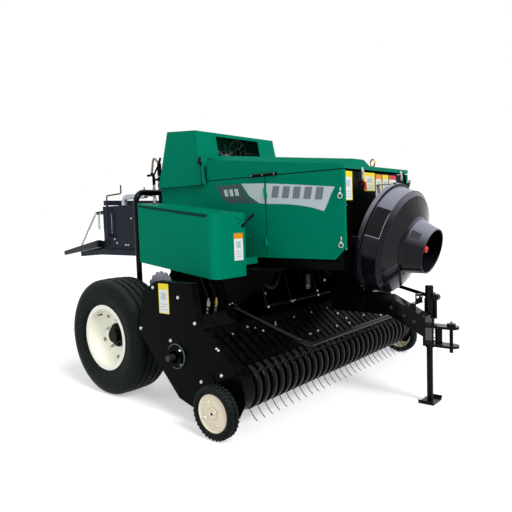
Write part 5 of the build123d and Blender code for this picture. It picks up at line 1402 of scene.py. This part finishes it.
def camera():
    """The view that shows the near side from the front."""
    data = bpy.data.cameras.new("camera")
    data.sensor_width = 36.0
    data.lens = CAMERA_LENS
    data.clip_end = 200.0
    made = bpy.data.objects.new("camera", data)
    bpy.context.scene.collection.objects.link(made)
    back = Vector((sin(AZIMUTH) * cos(ELEVATION), -cos(AZIMUTH) * cos(ELEVATION), sin(ELEVATION)))
    right = (-back).cross(UP).normalized()
    up = right.cross(-back)
    turn = Matrix((right * cos(ROLL) + up * sin(ROLL), up * cos(ROLL) - right * sin(ROLL),
                   back)).transposed()
    made.matrix_world = Matrix.Translation(CAMERA_PLACE) @ turn.to_4x4()
    bpy.context.scene.camera = made


def lights():
    """A soft sun from the front and a weaker one from the near side."""
    for name, towards, strength, spread in SUNS:
        lamp = bpy.data.lights.new(name, "SUN")
        lamp.energy = strength
        lamp.angle = radians(spread)
        holder = bpy.data.objects.new(name, lamp)
        holder.rotation_mode = "QUATERNION"
        holder.rotation_quaternion = Vector(towards).to_track_quat("Z", "Y")
        bpy.context.scene.collection.objects.link(holder)


def seen_directly(tree):
    """1 for rays that show the surface itself, straight, mirrored or through glass."""
    seen = add_node(tree, "LightPath", output="Is Camera Ray")
    for kind in ("Is Glossy Ray", "Is Transmission Ray"):
        ray = add_node(tree, "LightPath", output=kind)
        seen = add_node(tree, "Math", {0: seen, 1: ray}, operation="MAXIMUM")
    return seen


def world():
    """A white background over a grey sky light."""
    made = bpy.data.worlds.new("studio")
    made.use_nodes = True
    tree = made.node_tree
    shown = blend_colours(tree, seen_directly(tree), SKY_GREY, WHITE)
    tree.links.new(shown, tree.nodes["Background"].inputs["Color"])
    bpy.context.scene.world = made


def floor():
    """A pale floor: white where it is seen, and darker only where the machine shades it."""
    mesh = bmesh.new()
    corners = [(-FLOOR_REACH, -FLOOR_REACH, 0), (FLOOR_REACH, -FLOOR_REACH, 0),
               (FLOOR_REACH, FLOOR_REACH, 0), (-FLOOR_REACH, FLOOR_REACH, 0)]
    mesh.faces.new([mesh.verts.new(corner) for corner in corners])
    data = bpy.data.meshes.new("studio_floor")
    mesh.to_mesh(data)
    mesh.free()
    ground = bpy.data.objects.new("studio_floor", data)
    ground.location.z = -0.0005
    bpy.context.scene.collection.objects.link(ground)
    material = bpy.data.materials.new("pale floor")
    material.use_nodes = True
    tree = material.node_tree
    shader = tree.nodes["Principled BSDF"].inputs
    shader["Base Color"].default_value = FLOOR_GREY
    shader["Roughness"].default_value = 0.9
    shader["Specular IOR Level"].default_value = 0.0
    shader["Emission Color"].default_value = WHITE
    glow = multiply(tree, seen_directly(tree), FLOOR_GLOW)
    tree.links.new(glow, shader["Emission Strength"])
    data.materials.append(material)


camera()
lights()
world()
floor()
bpy.context.scene.view_settings.view_transform = "Standard"
